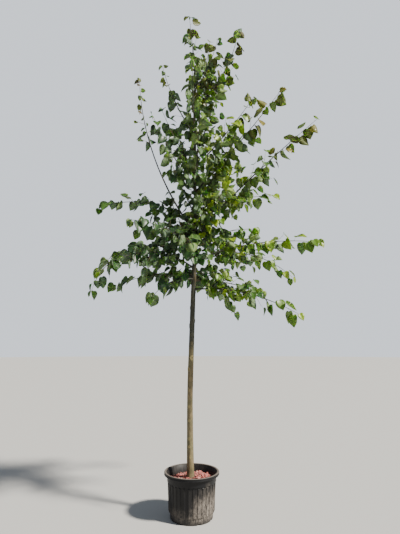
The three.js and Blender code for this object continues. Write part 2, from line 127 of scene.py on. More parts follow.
# A knot in shares of its size: the middle and width of its lip, of its hollow, of the pale scar and of
# the hollow's dark. Heights count for less, so it is taller than wide.
KNOT_TALL = 0.8
KNOT_LIP = (0.75, 0.35)
KNOT_HOLLOW = (0.0, 0.45)
KNOT_DEPTH = 0.7
KNOT_SCAR = (0.62, 0.26)
KNOT_DARK = (0.0, 0.34)
# The swelling where a bough leaves the trunk: its height and width in shares of the bough's radius, and
# its place as a share of how far the bough rises inside the trunk.
COLLAR = (0.45, 2.1)
COLLAR_RISE = 0.5

# Cracks follow the noise's ridges: how narrow they are, where on a ridge they begin, and how fast they
# deepen. They come in patches, which are wider than the cracks by the shares here.
CRACK_NARROW = 2.2
CRACK_FROM = 0.62
CRACK_DEEPEN = 2.6
CRACK_PATCH = (0.4, 0.5)
CRACK_PATCH_SLICE = 9
CRACK_SHARE = 0.45
CRACK_CONTRAST = 1.6

# Boughs, as in the solids: the height of the foot, compass heading, launch angle, bend to the tip,
# reach along the curve, longest side twig, leafless share, and the mood of its leaves, whose tones also
# paint light and shade by the side that the bough grows on.
Bough = namedtuple("Bough", "name foot heading launch bend reach twig bare mood")
BOUGHS = [Bough(*row) for row in [
    ("right_long", 2.60, -12, 46, -8, 1.69, 0.38, 0.20, "amber"),
    ("right_high", 3.33, 15, 50, 8, 1.15, 0.30, 0.16, "amber"),
    ("right_fork", 3.06, -25, 40, 8, 1.27, 0.34, 0.16, "amber"),
    ("right_level", 2.33, -8, 22, -30, 1.23, 0.34, 0.18, "sunlit_side"),
    ("right_arch", 2.29, 28, 32, -66, 1.32, 0.36, 0.18, "sunlit_side"),
    ("right_low", 2.04, -30, 1, -32, 1.08, 0.34, 0.14, "sunlit_side"),
    ("right_crown", 4.02, -5, 44, 36, 1.04, 0.28, 0.14, "young"),
    ("left_tall", 2.61, 191, 53, 34, 1.80, 0.20, 0.58, "tipped"),
    ("left_level", 2.69, 173, 44, -60, 1.09, 0.28, 0.18, "deep"),
    ("left_arch", 2.34, 188, 38, -112, 1.22, 0.34, 0.18, "deep"),
    ("left_low", 2.25, 210, 32, -78, 1.03, 0.34, 0.16, "deep"),
    ("front_low", 2.27, 266, 24, -38, 0.84, 0.32, 0.16, "deep"),
    ("front_high", 2.98, 275, 48, 6, 0.92, 0.32, 0.16, "fresh"),
    ("back_mid", 2.52, 118, 35, -25, 0.98, 0.34, 0.16, "deep"),
    ("back_high", 2.96, 62, 48, 4, 1.00, 0.34, 0.16, "fresh"),
    ("right_mid", 2.86, 20, 26, -18, 0.94, 0.30, 0.0, "sunlit_side"),
    ("right_under", 2.13, 6, 3, -26, 0.70, 0.32, 0.0, "sunlit_side"),
    ("left_front", 2.44, 226, 30, -40, 0.80, 0.32, 0.0, "deep"),
    ("left_under", 2.17, 168, 14, -38, 0.84, 0.28, 0.0, "deep"),
    ("left_slim", 3.70, 172, 58, 18, 0.95, 0.12, 0.0, "tipped"),
    ("left_twin", 3.30, 192, 54, 14, 0.74, 0.22, 0.0, "deep"),
    ("left_back", 2.56, 148, 26, -24, 0.80, 0.28, 0.0, "deep"),
    ("left_droop", 2.14, 230, 2, -50, 0.64, 0.26, 0.0, "deep"),
    ("left_inner", 3.08, 200, 52, 12, 0.86, 0.32, 0.0, "deep"),
    ("front_mid", 2.46, 298, 42, -14, 0.86, 0.32, 0.0, "sunlit_side"),
    ("back_low", 2.13, 78, 22, -45, 0.90, 0.32, 0.0, "deep"),
    ("back_right", 2.50, 34, 32, -24, 0.86, 0.34, 0.0, "fresh"),
    ("back_tall", 3.23, 125, 55, 14, 0.86, 0.30, 0.0, "deep"),
    ("inner_right", 2.88, 325, 50, 4, 0.76, 0.30, 0.0, "sunlit_side"),
    ("inner_left", 2.80, 232, 46, 8, 0.64, 0.28, 0.0, "deep"),
    ("core_front", 2.30, 290, 62, 10, 0.70, 0.26, 0.0, "deep"),
    ("core_back", 2.42, 100, 62, 10, 0.70, 0.26, 0.0, "deep"),
    ("core_right", 2.64, 58, 66, 10, 0.64, 0.26, 0.0, "sunlit_side"),
    ("core_left", 2.44, 184, 60, 10, 0.64, 0.26, 0.0, "deep"),
    ("column_right", 3.46, 328, 62, 14, 0.88, 0.28, 0.0, "sunlit_side"),
    ("column_back", 3.56, 84, 62, 14, 0.86, 0.28, 0.0, "fresh"),
    ("column_left", 3.60, 264, 64, 14, 0.84, 0.28, 0.0, "fresh"),
    ("column_high", 3.96, 310, 64, 14, 0.76, 0.28, 0.0, "young"),
    ("crown_back", 4.06, 50, 62, 14, 0.74, 0.28, 0.0, "young"),
    ("crown_right", 4.24, 12, 60, 18, 0.72, 0.27, 0.0, "young"),
    ("leader", 4.44, 172, 86, -2, 0.735, 0.20, 0.0, "young"),
]]


def group_of(bough):
    """Boughs are joined into one piece by the first word of their names."""
    return bough.name.split("_")[0]


GROUPS = list(dict.fromkeys(group_of(bough) for bough in BOUGHS))
BOUGH_RADIUS = 0.0045  # at the foot, and what each metre of reach adds to it
BOUGH_RADIUS_PER_REACH = 1 / 280
BOUGH_TIP_RADIUS = 0.0016
BOUGH_SIDES = 12
BOUGH_RING = 0.014
BOUGH_FLARE = 0.7  # how much wider a bough is where it leaves the trunk, and how far that reaches
BOUGH_FLARE_REACH = 0.022
BOUGH_FLARE_ROUND = 1.2
NODE_SWELL = 0.05
BOUGH_LUMPS = (0.0004, 60)  # their height, and how many to the metre
BOUGH_CRACKS = (120, 14)
BOUGH_CRACK_DEPTH = 0.0003
BOUGH_CRACK_DARK = 0.7
LINE_STEPS = 48

# How a spray grows. Twigs stand where the solids have them, with finer twigs and leaves between.
# Lengths are in metres, angles in degrees, and pairs are the least and the most.
NODE = 0.088  # from one node of a bough to the next, and how much further that is at its tip
NODE_WIDEN = 0.3
FIRST_NODE = 0.09
PAST_LIMB = 0.03
SPIRAL = 68  # turn from node to node on a steep bough
STEEP = 0.3  # a bough is level at 1 and upright at 0: below these it counts as steep, and as upright
STANDING = 0.03
TWIG_LEAST = 0.07
TWIG_OPEN = math.radians(52)
TWIG_ROLL = 75
TWIG_WANE = 1.1  # how fast twigs get shorter towards the tip, and where on the bough they end
TWIG_SHARE = 0.88
TWIG_VARIES = (0.7, 1.1)
TWIG_STRAY = 0.09
TWIG_SIDES = 5
UPRIGHT = 0.9  # upward share of a tube's direction from which its sides are measured off +X
TWIG_FOOT_RADIUS = 0.0024
TWIG_FOOT_WIDEN = (0.75, 0.8)  # of that radius, and for each metre of reach
TWIG_TIP_RADIUS = 0.0011
TWIG_ZIGZAG = 0.13
SIDE_TWIG_FROM = 0.10  # length of twig past which it carries side twigs of its own
SIDE_TWIG_SHARE = 0.5
SIDE_TWIG_VARIES = (0.8, 1.2)
SIDE_TWIG_OPEN = 0.7
SAG_STEEP = 0.02
SAG_LEVEL = 0.07
INNER_TWIG = 0.75  # length of the twigs between nodes, near the trunk, as a share of a node's own
LEAF_NODE = 0.028  # between the leaves of a twig near the trunk, and how much further apart out on it
LEAF_NODE_WIDEN = 1.5
INNER_LEAF = 0.78  # size of the leaves near the trunk
OUTER_FROM = 0.62  # of a bough's length, where leaves are full size and stand singly
LEAF_VARIES = (0.78, 1.15)
LEAF_STRAY = 0.25
LEAF_TILT = 0.7
LEAF_ROLL = 50
LEAF_LESS = 0.25
TIP_LEAF = 0.55
TIP_LESS = 0.35
TIP_LEAF_LEAN = 0.3
# The ways that a stalk, a blade and a blade's face point: along the twig, to the side and up.
STALK_WAY = (0.5, 0.9, 0.25)
STALK_VARIES = (0.8, 1.3)
BLADE_WAY = (0.45, 0.65)
LEAF_HANG = (0.3, 1.5)
FACE_WAY = (0.8, 0.4)
BUD_WAY = 0.6
BUD = 0.0042
# A leaf that leaves its spray's space or crowds another is tried again, smaller.
LEAF_TRIES = 5
LEAF_TRY_LESS = 0.1
LEAF_APART = 0.18
LEAF_MIDDLE = 0.4
REACH_SPARE = 0.02  # how far a leaf may hang out past the solids' own reach
SPACE_SHARED = 0.10

# A leaf's half outline from the notch at its stalk to its tip: half width and place along, both as
# shares of its length. A side vein ends at each point, in a tooth.
LEAF_OUTLINE = [
    (0.0, 0.02),
    (0.20, -0.07),
    (0.405, 0.005),
    (0.50, 0.20),
    (0.485, 0.44),
    (0.375, 0.66),
    (0.185, 0.855),
    (0.0, 1.02),
]
LEAF_TOOTH = 0.03
LEAF_BULGE = 0.015
LEAF_RIB = (1.05, 1.7)  # length of the midrib, and how its corners crowd towards the stalk
LEAF_RIB_SAG = 0.01
LEAF_QUARTER = 0.52  # place of the middle row of corners between the midrib and the margin
LEAF_PLEAT = 0.004
LEAF_THICK = 0.006
# How single leaves differ, least and most: fold along the midrib, curl, width, wavy margin, twist.
LEAF_FOLD = (0.05, 0.42)
LEAF_CURL = (-0.05, 0.38)
LEAF_WIDTH = (0.86, 1.06)
LEAF_WAVE = (0.0, 0.035)
LEAF_WAVES = 9
LEAF_TWIST = (-0.5, 0.5)
LEAF_HALF = 0.47  # half width at which a wave has its full height
STALK_RADII = [size * MM for size in (1.0, 0.8, 0.8, 0.6)]
STALK_ARCH = (0.55, 0.12)  # where along the stalk it arches, and how high
STALK_IN_BLADE = 0.05

# Leaf tones: the upper side's colour and its pale underside. The greens run from dark to pale partly
# as real leaves do and partly as painted light: the darkest tone is painted shade, and the lime one
# painted sunlight.
TONES = {
    "shade": ((0.011, 0.032, 0.010), (0.066, 0.105, 0.062)),
    "deep": ((0.018, 0.050, 0.012), (0.084, 0.132, 0.075)),
    "green": ((0.040, 0.092, 0.011), (0.108, 0.165, 0.076)),
    "fresh": ((0.086, 0.168, 0.008), (0.150, 0.222, 0.076)),
    "lime": ((0.180, 0.275, 0.006), (0.205, 0.290, 0.070)),
    "olive": ((0.078, 0.086, 0.008), (0.092, 0.108, 0.026)),
    "bronze": ((0.062, 0.043, 0.011), (0.076, 0.064, 0.024)),
    "amber": ((0.138, 0.112, 0.005), (0.130, 0.124, 0.018)),
}
# What each mood deals out: shares of the tones along the bough, then on its young tip. The moods also
# paint light and shade by side: boughs towards the key light get pale, sunlit tones, and the deep mood
# of the boughs on the far side deals dark tones of painted shade.
MOODS = {
    "deep": ({"shade": 3, "deep": 5, "green": 3}, {"deep": 3, "green": 4, "fresh": 1}),
    "fresh": ({"deep": 3, "green": 5, "fresh": 3}, {"green": 3, "fresh": 4, "lime": 1}),
    "sunlit_side": ({"deep": 2, "green": 4, "fresh": 4, "lime": 2}, {"green": 1, "fresh": 4, "lime": 3}),
    "amber": ({"green": 4, "fresh": 4, "lime": 2}, {"fresh": 3, "olive": 4, "amber": 2, "bronze": 1}),
    "tipped": ({"deep": 4, "green": 4}, {"olive": 3, "bronze": 3, "green": 2}),
    "young": (
        {"deep": 3, "green": 3, "olive": 4, "fresh": 2},
        {"olive": 5, "bronze": 2, "deep": 2, "fresh": 1},
    ),
}
YOUNG_FROM = 0.62  # of a bough's length, where its tip's tones begin
TIPPED_LEAF = 0.6  # size of the young leaves on the tips of the "tipped" boughs

# Pot: a rolled rim, a plain shoulder band, a ribbed wall that tapers to a plain foot.
RIM_RADIUS = POT_HIGH.x
RIM_TOP = POT_HIGH.z
RIM_HEIGHT = 0.027
RIM_WIDTH = 0.022
RIM_ROLL = 0.006
BAND_RADIUS = 0.224
BAND_FOOT = 0.302
WALL_TOP_RADIUS = 0.213
WALL_FOOT_RADIUS = 0.199
WALL_FOOT = 0.052
FOOT_RADIUS = 0.190
WALL = 0.005
RIB_COUNT = 32
RIB_DEPTH = 0.005
RIB_COLUMNS = 3
RIB_ENDS = (0.003, 0.005)  # plain wall below and above the ribs
RIB_TAPER = 0.3  # share of its width that a rib loses towards its crest
WALL_LEAN = 0.05  # how much further out the wall's outside is, at the least, for each metre up
EDGE_WIDTH = 0.9 * MM
EDGE_ANGLE = 32
SHARP_ANGLE = 38
INWARD = 0.05  # how far a face has to look at the pot's middle to count as its inside
FILMS = {"black_plastic": 0.035, "dusty_plastic": 0.38}  # dust on the outside, and on the inside
DRAIN_COUNT = 8
DRAIN_WIDTH = 0.034
DRAIN_HEIGHT = 0.014
DRAIN_TURN = 21
DRAIN_SIDES = 24
DRAIN_PAST = 0.012  # how far the cut reaches past the wall

# Chips of bark: the height of their bed, the place, rise and spread of the heap beside the trunk, how
# many lie loose, and their least and most length, width and thickness.
CHIPS_TOP = 0.305
HEAP = (0.045, 0.020)
HEAP_RISE = 0.046
HEAP_SPREAD = 0.085
CHIP_COUNT = 1050
CHIP_LENGTH = (0.014, 0.042)
CHIP_WIDTH = (0.008, 0.019)
CHIP_THICK = (0.003, 0.008)
CHIP_TONES = {
    "rust": (0.360, 0.055, 0.050),
    "rose": (0.560, 0.165, 0.160),
    "umber": (0.120, 0.028, 0.024),
    "straw": (0.620, 0.360, 0.290),
}
CHIP_SHARES = (6, 5, 5, 1)
CHIP_ROUGH = 0.35
CHIP_TILT = 0.5
CHIP_SINK = (-0.002, 0.010)
CHIP_ROOM = (0.004, 0.008)  # clear of the trunk, and of the bed's edge
CHIP_OVER = 0.004
# The bed is uneven: lumps to the metre, their height, and which slice of the noise they come from.
BED_LUMPS = ((14, 0.006, 2.0), (40, 0.003, 7.0))
BED_RINGS = 24
BED_SIDES = 96

# Colours that no setting holds.
SOIL = (0.055, 0.034, 0.022)
SOIL_DARK = (0.018, 0.011, 0.007)
# The bed's dark red is partly the fines' own colour, partly painted shade of the gaps between chips.
CHIP_FINES_AND_GAP_SHADE = (0.075, 0.026, 0.020)
CHIP_FIBRE = (0.62, 0.40, 0.31)
TRUNK_ALGAE = (0.078, 0.084, 0.034)
BOUGH_ALGAE = (0.075, 0.080, 0.030)
BARK_SCAR = (0.46, 0.37, 0.16)
# Painted shade that the bark takes on up under the crown.
BARK_PAINTED_SHADE = (0.018, 0.024, 0.018)
TWIG_DARK = (0.095, 0.055, 0.030)
STALK = ((0.20, 0.22, 0.05), (0.22, 0.10, 0.05))
BUD_SCALES = ((0.150, 0.045, 0.025), (0.080, 0.060, 0.020))
BACKDROP = (0.86, 0.92, 1.0)
SUNLIGHT = (1.0, 0.94, 0.84)
# A leaf's sides: how much paler their veins are, how rough they are, and their sheen. The upper side's
# roughness is a setting.
UPPER_VEINS, UPPER_SHEEN = 1.75, 0.45
UNDER_VEINS, UNDER_ROUGH, UNDER_SHEEN = 1.25, 0.65, 0.25
VEIN_SHARE = 0.42
# Flecks of the bark to the metre.
TRUNK_FLECKS = 120.0
BOUGH_FLECKS = 210.0

# Where finishes change on the object: the side that splashes of soil dried on, which is also the side
# towards the key light, so that their dust partly paints the sunlit side paler; and the heights on the
# trunk between which its bark goes over into a painted shade of the crown.
SPLASHED_SUNLIT_SIDE = (0.94, -0.34, 0.0)
BARK_PAINTED_SHADE_HEIGHTS = (1.40, 1.56)

# Camera at the viewer's place, and the frame that it fills.
CAMERA_PLACE = (0.075, -3.934, 1.490)
CAMERA_PITCH = 11.18
CAMERA_LENS = 26
CAMERA_SENSOR = 34.6
CAMERA_FAR = 200
# The key light's heading, elevation and width, in degrees.
KEY_FROM = (-26, 43)
KEY_WIDTH = 6
FLOOR_RADIUS = 60


class PotSettings(bpy.types.PropertyGroup):
    rim_radius: FloatProperty(
        name="Rim radius", description="From the axis to the rim's outer edge",
        default=RIM_RADIUS, unit="LENGTH"
    )
    plastic: FloatVectorProperty(
        name="Plastic", description="Colour of the clean plastic",
        subtype="COLOR", default=(0.006, 0.0065, 0.008)
    )
    dust: FloatVectorProperty(
        name="Dust", description="Colour of the dried dust",
        subtype="COLOR", default=(0.300, 0.262, 0.226)
    )
    chips: IntProperty(name="Chips", description="How many chips lie loose", default=CHIP_COUNT)


class BarkSettings(bpy.types.PropertyGroup):
    trunk: FloatVectorProperty(
        name="Trunk", description="Colour of the trunk's bark",
        subtype="COLOR", default=(0.222, 0.169, 0.088)
    )
    bough: FloatVectorProperty(
        name="Boughs", description="Colour of the boughs' bark",
        subtype="COLOR", default=(0.125, 0.090, 0.052)
    )
    shoot: FloatVectorProperty(
        name="Shoots", description="Colour of this year's shoots",
        subtype="COLOR", default=(0.120, 0.110, 0.035)
    )
    crack: FloatProperty(
        name="Crack depth", description="Depth of the bark's cracks", default=0.0008, unit="LENGTH"
    )


class CrownSettings(bpy.types.PropertyGroup):
    leaf: FloatProperty(name="Leaf", description="Length of a full leaf", default=0.108, unit="LENGTH")
    stalk: FloatProperty(name="Stalk", description="Length of its stalk", default=0.034, unit="LENGTH")
    gloss: FloatProperty(
        name="Roughness", description="Roughness of a leaf's upper side", default=0.40, subtype="FACTOR"
    )
    glow: FloatProperty(
        name="Glow", description="How much light passes through a leaf", default=0.25, subtype="FACTOR"
    )


class StageSettings(bpy.types.PropertyGroup):
    floor: FloatVectorProperty(
        name="Floor", description="Colour of the floor", subtype="COLOR", default=(0.46, 0.46, 0.45)
    )
    sky: FloatVectorProperty(
        name="Surroundings", description="Colour of the surroundings",
        subtype="COLOR", default=(0.76, 0.84, 0.96)
    )
    key: FloatProperty(name="Key light", description="Strength of the key light", default=9.5)
    fill: FloatProperty(name="Fill light", description="Strength of the surroundings' light", default=0.36)
    backdrop: FloatProperty(name="Backdrop", description="Brightness of the backdrop", default=1.15)


def trunk_at(height):
    """The trunk's middle and radius at a height, on a smooth line through its stations."""
    last = len(TRUNK) - 1
    z = min(max(height, TRUNK[0].height), TRUNK[last].height)
    i = 0
    while i < last - 1 and TRUNK[i + 1].height <= z:
        i += 1
    low, high = TRUNK[i], TRUNK[i + 1]
    span = high.height - low.height
    w = (z - low.height) / span

    def slope(k, key):
        before, after = TRUNK[max(k - 1, 0)], TRUNK[min(k + 1, last)]
        return (getattr(after, key) - getattr(before, key)) / (after.height - before.height) * span

    def through(key):
        return (
            (2 * w**3 - 3 * w**2 + 1) * getattr(low, key)
            + (w**3 - 2 * w**2 + w) * slope(i, key)
            + (3 * w**2 - 2 * w**3) * getattr(high, key)
            + (w**3 - w**2) * slope(i + 1, key)
        )

    return Vector((through("x"), through("y"), z)), low.radius + (high.radius - low.radius) * w


def direction_of(heading, pitch):
    """The direction at a compass heading and an angle above the level, in degrees."""
    h, p = math.radians(heading), math.radians(pitch)
    return Vector((math.cos(h) * math.cos(p), math.sin(h) * math.cos(p), math.sin(p)))


def line_of(bough):
    """The curve of a bough from the trunk's middle to its tip, in even steps."""
    points = [trunk_at(bough.foot)[0]]
    for k in range(LINE_STEPS):
        share = (k + 0.5) / LINE_STEPS
        step = direction_of(bough.heading, bough.launch + bough.bend * share)
        points.append(points[-1] + step * (bough.reach / LINE_STEPS))
    return points


def place_on(line, reach, length):
    """The place and direction at a length along a line of even steps."""
    step = reach / (len(line) - 1)
    k = min(int(length / step), len(line) - 2)
    return line[k].lerp(line[k + 1], length / step - k), (line[k + 1] - line[k]).normalized()


def bough_radius(bough, out):
    """A bough's radius at a share of its length."""
    foot = BOUGH_RADIUS + BOUGH_RADIUS_PER_REACH * bough.reach
    return foot + (BOUGH_TIP_RADIUS - foot) * out


def stray(draw, size):
    """A small random step in any direction."""
    return Vector([draw.uniform(-size, size) for _ in range(3)])


def turned(vector, axis, degrees):
    """A vector turned about an axis."""
    return Quaternion(axis, math.radians(degrees)) @ vector


def dealt(draw, shares):
    """One name, drawn by its share."""
    return draw.choices(list(shares), list(shares.values()))[0]


Shoot = namedtuple("Shoot", "points radii")
Leaf = namedtuple("Leaf", "root base blade face length tone")
Bud = namedtuple("Bud", "place along size")
Manner = namedtuple("Manner", "sag tones size gap")
LeafShape = namedtuple("LeafShape", "places loops sizes under veins")


class Spray:
    """The twigs, buds and leaves that grow from one bough, by random draws of its own."""

    def __init__(self, index, bough):
        self.index, self.bough = index, bough
        self.draw = random.Random(SEED + index)
        self.line = line_of(bough)
        self.shoots, self.buds, self.leaves = [], [], []


class Crown:
    """Every spray, with the space that each keeps to."""

    def __init__(self, settings):
        self.settings = settings
        self.sprays = [Spray(index, bough) for index, bough in enumerate(BOUGHS)]
        lines = []
        for spray in self.sprays:
            line = np.array(spray.line)
            bare = math.ceil(spray.bough.bare * LINE_STEPS)
            line[:bare] = line[bare]
            lines.append(line)
        self.lines = np.array(lines)
        self.middles = np.zeros((0, 3))
        for spray in self.sprays:
            self.grow(spray)

    def in_space(self, spray, point):
        """A spray's space reaches a little past the middle between its own bough and the next."""
        distance = np.linalg.norm(self.lines - np.array(point), axis=2).min(axis=1)
        own = distance[spray.index]
        distance[spray.index] = np.inf
        return distance.min() > own - SPACE_SHARED

    def fits(self, spray, base, span, length):
        """A leaf keeps clear of the others, within the solids' reach and in its spray's space."""
        middle, tip = np.array(base + span * LEAF_MIDDLE), base + span
        if len(self.middles):
            if np.linalg.norm(self.middles - middle, axis=1).min() < LEAF_APART * length:
                return False
        sides = [CROWN_LOW[k] - tip[k] for k in range(2)] + [tip[k] - CROWN_HIGH[k] for k in range(3)]
        if max(sides) > REACH_SPARE or not self.in_space(spray, tip):
            return False
        self.middles = np.vstack([self.middles, middle])
        return True

    def add_leaf(self, spray, root, along, side, size, tone):
        """A leaf stands out from its twig on a stalk and hangs. One that doesn't fit is tried again."""
        settings, draw = self.settings, spray.draw
        for k in range(LEAF_TRIES):
            scale = size * (1 - LEAF_TRY_LESS * k)
            stalk = (along * STALK_WAY[0] + side * STALK_WAY[1] + UP * STALK_WAY[2]).normalized()
            base = root + stalk * settings.stalk * scale * draw.uniform(*STALK_VARIES)
            hang = UP * draw.uniform(*LEAF_HANG)
            blade = along * BLADE_WAY[0] + side * BLADE_WAY[1] - hang + stray(draw, LEAF_STRAY)
            blade.normalize()
            face = UP * FACE_WAY[1] + side * FACE_WAY[0] + stray(draw, LEAF_TILT)
            face = (face - blade * face.dot(blade)).normalized()
            length = settings.leaf * scale * draw.uniform(*LEAF_VARIES)
            if self.fits(spray, base, blade * length, length):
                spray.leaves.append(Leaf(root, base, blade, face, length, tone))
                spray.buds.append(Bud(root, (along + side * BUD_WAY).normalized(), BUD * scale))
                return

    def add_twig(self, spray, start, direction, reach, manner, order=1):
        """A zigzag twig with a leaf at each node, and side twigs of its own where it is long."""
        draw = spray.draw
        count = max(1, int(reach / manner.gap))
        foot = TWIG_FOOT_RADIUS * (TWIG_FOOT_WIDEN[0] + TWIG_FOOT_WIDEN[1] * reach) / order
        points, alongs = [start], [direction]
        for k in range(count):
            along = (alongs[-1] - UP * manner.sag + stray(draw, TWIG_STRAY)).normalized()
            alongs.append(along)
            flat = along.cross(UP).normalized()
            zigzag = flat * (TWIG_ZIGZAG if k % 2 else -TWIG_ZIGZAG)
            place = points[-1] + (along + zigzag).normalized() * (reach / count)
            if not self.in_space(spray, place):
                break
            points.append(place)
        if len(points) == 1:
            return
        steps = len(points) - 1
        radii = [foot + (TWIG_TIP_RADIUS - foot) * k / steps for k in range(steps + 1)]
        spray.shoots.append(Shoot(points, radii))
        for k in range(1, steps + 1):
            along = alongs[k]
            flat = along.cross(UP).normalized() * (1 if k % 2 else -1)
            flat = turned(flat, along, draw.uniform(-LEAF_ROLL, LEAF_ROLL))
            side = (along + flat * TIP_LEAF_LEAN).normalized() if k == steps else flat
            size = manner.size * (1 - LEAF_LESS * k / count)
            self.add_leaf(spray, points[k], along, side, size, dealt(draw, manner.tones))
            left = reach * (1 - k / count)
            if order == 1 and k % 2 and left > SIDE_TWIG_FROM:
                out = (along * SIDE_TWIG_OPEN - flat * SIDE_TWIG_OPEN).normalized()
                length = left * SIDE_TWIG_SHARE * draw.uniform(*SIDE_TWIG_VARIES)
                self.add_twig(spray, points[k], out, length, manner, order + 1)

    def grow(self, spray):
        """Side twigs from the nodes of the bough, and leaves on both."""
        bough, draw = spray.bough, spray.draw
        main, young = MOODS[bough.mood]
        end, along = place_on(spray.line, bough.reach, bough.reach)
        self.add_leaf(spray, end, along, along, TIP_LEAF, dealt(draw, young))
        length = max(bough.bare * bough.reach + PAST_LIMB, FIRST_NODE)
        node = 0
        while length < bough.reach:
            out = length / bough.reach
            tones = young if out > YOUNG_FROM else main
            middle, along = place_on(spray.line, bough.reach, length)
            level = 1 - abs(along.z)
            flat = along.cross(UP if level > STANDING else Vector((1, 0, 0))).normalized()
            roll = draw.uniform(-TWIG_ROLL, TWIG_ROLL) + (node * SPIRAL if level < STEEP else 0)
            side = turned(flat * (-1 if node % 2 else 1), along, roll)
            share = (out - bough.bare) / (TWIG_SHARE - bough.bare)
            reach = bough.twig * (1 - share) ** TWIG_WANE * draw.uniform(*TWIG_VARIES) if share < 1 else 0
            outer = min(out / OUTER_FROM, 1)
            size = INNER_LEAF + (1 - INNER_LEAF) * outer
            size *= 1 - TIP_LESS * max(out - TWIG_SHARE, 0) / (1 - TWIG_SHARE)
            if bough.mood == "tipped" and out > YOUNG_FROM:
                size *= TIPPED_LEAF
            gap = LEAF_NODE * (1 + LEAF_NODE_WIDEN * outer)
            manner = Manner(SAG_STEEP + SAG_LEVEL * level, tones, size, gap)
            if reach > TWIG_LEAST:
                direction = along * math.cos(TWIG_OPEN) + side * math.sin(TWIG_OPEN)
                self.add_twig(spray, middle, direction, reach, manner)
            self.add_leaf(spray, middle, along, -side, size, dealt(draw, tones))
            step = NODE * (1 + NODE_WIDEN * out)
            between, along = place_on(spray.line, bough.reach, min(length + step / 2, bough.reach))
            swung = turned(side, along, 90 + draw.uniform(-LEAF_ROLL, LEAF_ROLL))
            self.add_leaf(spray, between, along, swung, size, dealt(draw, tones))
            short = reach * INNER_TWIG * (1 - outer / 2)
            if outer < 1 and short > TWIG_LEAST:
                direction = along * math.cos(TWIG_OPEN) - swung * math.sin(TWIG_OPEN)
                self.add_twig(spray, between, direction, short, manner)
            length += step
            node += 1


class Soup:
    """Many small closed shapes, gathered as arrays and joined into one mesh."""

    def __init__(self):
        self.places, self.loops, self.sizes, self.slots, self.values = [], [], [], [], []
        self.count = 0

    def add(self, places, faces, slot=0):
        """One shape with all its faces in one slot."""
        places = np.asarray(places, np.float32)
        self.places.append(places)
        for face in faces:
            self.loops.append(np.asarray(face, np.int64) + self.count)
            self.sizes.append(len(face))
        self.slots.append(np.full(len(faces), slot))
        self.values.append(np.zeros(len(places), np.float32))
        self.count += len(places)

    def add_copies(self, places, loops, sizes, slots, values):
        """Copies of one shape: places is copies by vertices by 3, and the rest is for one copy."""
        copies, each = places.shape[:2]
        self.places.append(places.reshape(-1, 3).astype(np.float32))
        shift = (np.arange(copies) * each + self.count)[:, None]
        self.loops.append((loops[None, :] + shift).ravel())
        self.sizes.extend(np.tile(sizes, copies).tolist())
        self.slots.append(slots.ravel())
        self.values.append(np.tile(values, copies).astype(np.float32))
        self.count += copies * each

    def build(self, name, materials, value_name):
        """The joined piece, with one named value per vertex for its finishes."""
        mesh = bpy.data.meshes.new(name)
        places = np.concatenate(self.places)
        loops = np.concatenate(self.loops)
        sizes = np.array(self.sizes)
        mesh.vertices.add(len(places))
        mesh.vertices.foreach_set("co", places.ravel())
        mesh.loops.add(len(loops))
        mesh.loops.foreach_set("vertex_index", loops)
        mesh.polygons.add(len(sizes))
        mesh.polygons.foreach_set("loop_start", np.concatenate([[0], np.cumsum(sizes)[:-1]]))
        mesh.polygons.foreach_set("material_index", np.concatenate(self.slots).astype(np.int32))
        mesh.polygons.foreach_set("use_smooth", np.ones(len(sizes), bool))
        mesh.update(calc_edges=True)
        add_values(mesh, value_name, np.concatenate(self.values))
        for material in materials:
            mesh.materials.append(material)
        return linked(bpy.data.objects.new(name, mesh))


def add_values(mesh, name, values):
    """Writes one value per vertex, which a finish can read."""
    layer = mesh.attributes.new(name, "FLOAT", "POINT")
    layer.data.foreach_set("value", np.asarray(values, np.float32))


def linked(piece):
    """Puts a piece into the scene."""
    bpy.context.scene.collection.objects.link(piece)
    return piece


def piece_of(bm, name, *materials):
    """A finished bmesh as a smooth piece at the origin."""
    for face in bm.faces:
        face.smooth = True
    mesh = bpy.data.meshes.new(name)
    bm.to_mesh(mesh)
    bm.free()
    for material in materials:
        mesh.materials.append(material)
    return linked(bpy.data.objects.new(name, mesh))


def ridden(piece, slot, *nodes):
    """Every piece rides on the one body, and the nodes that it stands for are hidden. Its slot is not used.
    """
    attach(piece, "root")
    if nodes:
        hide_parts(*nodes)


def verts_in(made):
    """The vertices among what a bmesh operator made."""
    return [item for item in made["geom"] if isinstance(item, bmesh.types.BMVert)]


def tube(points, radii, sides):
    """A tapering closed tube: its places and its faces."""
    places, frames = [], []
    side = Vector((1, 0, 0)) if abs((points[1] - points[0]).normalized().z) > UPRIGHT else UP.copy()
    for k, point in enumerate(points):
        along = (points[min(k + 1, len(points) - 1)] - points[max(k - 1, 0)]).normalized()
        side = (side - along * side.dot(along)).normalized()
        frames.append((point, side, along.cross(side), radii[k]))
    for point, side, other, radius in frames:
        for k in range(sides):
            turn = math.tau * k / sides
            places.append(point + side * (math.cos(turn) * radius) + other * (math.sin(turn) * radius))
    faces = []
    for ring in range(len(points) - 1):
        for k in range(sides):
            a, b = ring * sides + k, ring * sides + (k + 1) % sides
            faces.append((a, b, b + sides, a + sides))
    faces.append(tuple(range(sides))[::-1])
    faces.append(tuple(range(len(places) - sides, len(places))))
    return np.array(places), faces


def leaf_rows():
    """Half width, place and vein of each corner on a leaf's margin: a tooth at each side vein."""
    rows = []
    for k, (wide, along) in enumerate(LEAF_OUTLINE[:-1]):
        next_wide, next_along = LEAF_OUTLINE[k + 1]
        pull = LEAF_TOOTH if 0 < k < len(LEAF_OUTLINE) - 2 else 0
        rows.append((wide, along, 1))
        rows.append(((wide + next_wide) / 2 * (1 - pull) + LEAF_BULGE, (along + next_along) / 2, 0))
    return rows + [(*LEAF_OUTLINE[-1], 1)]


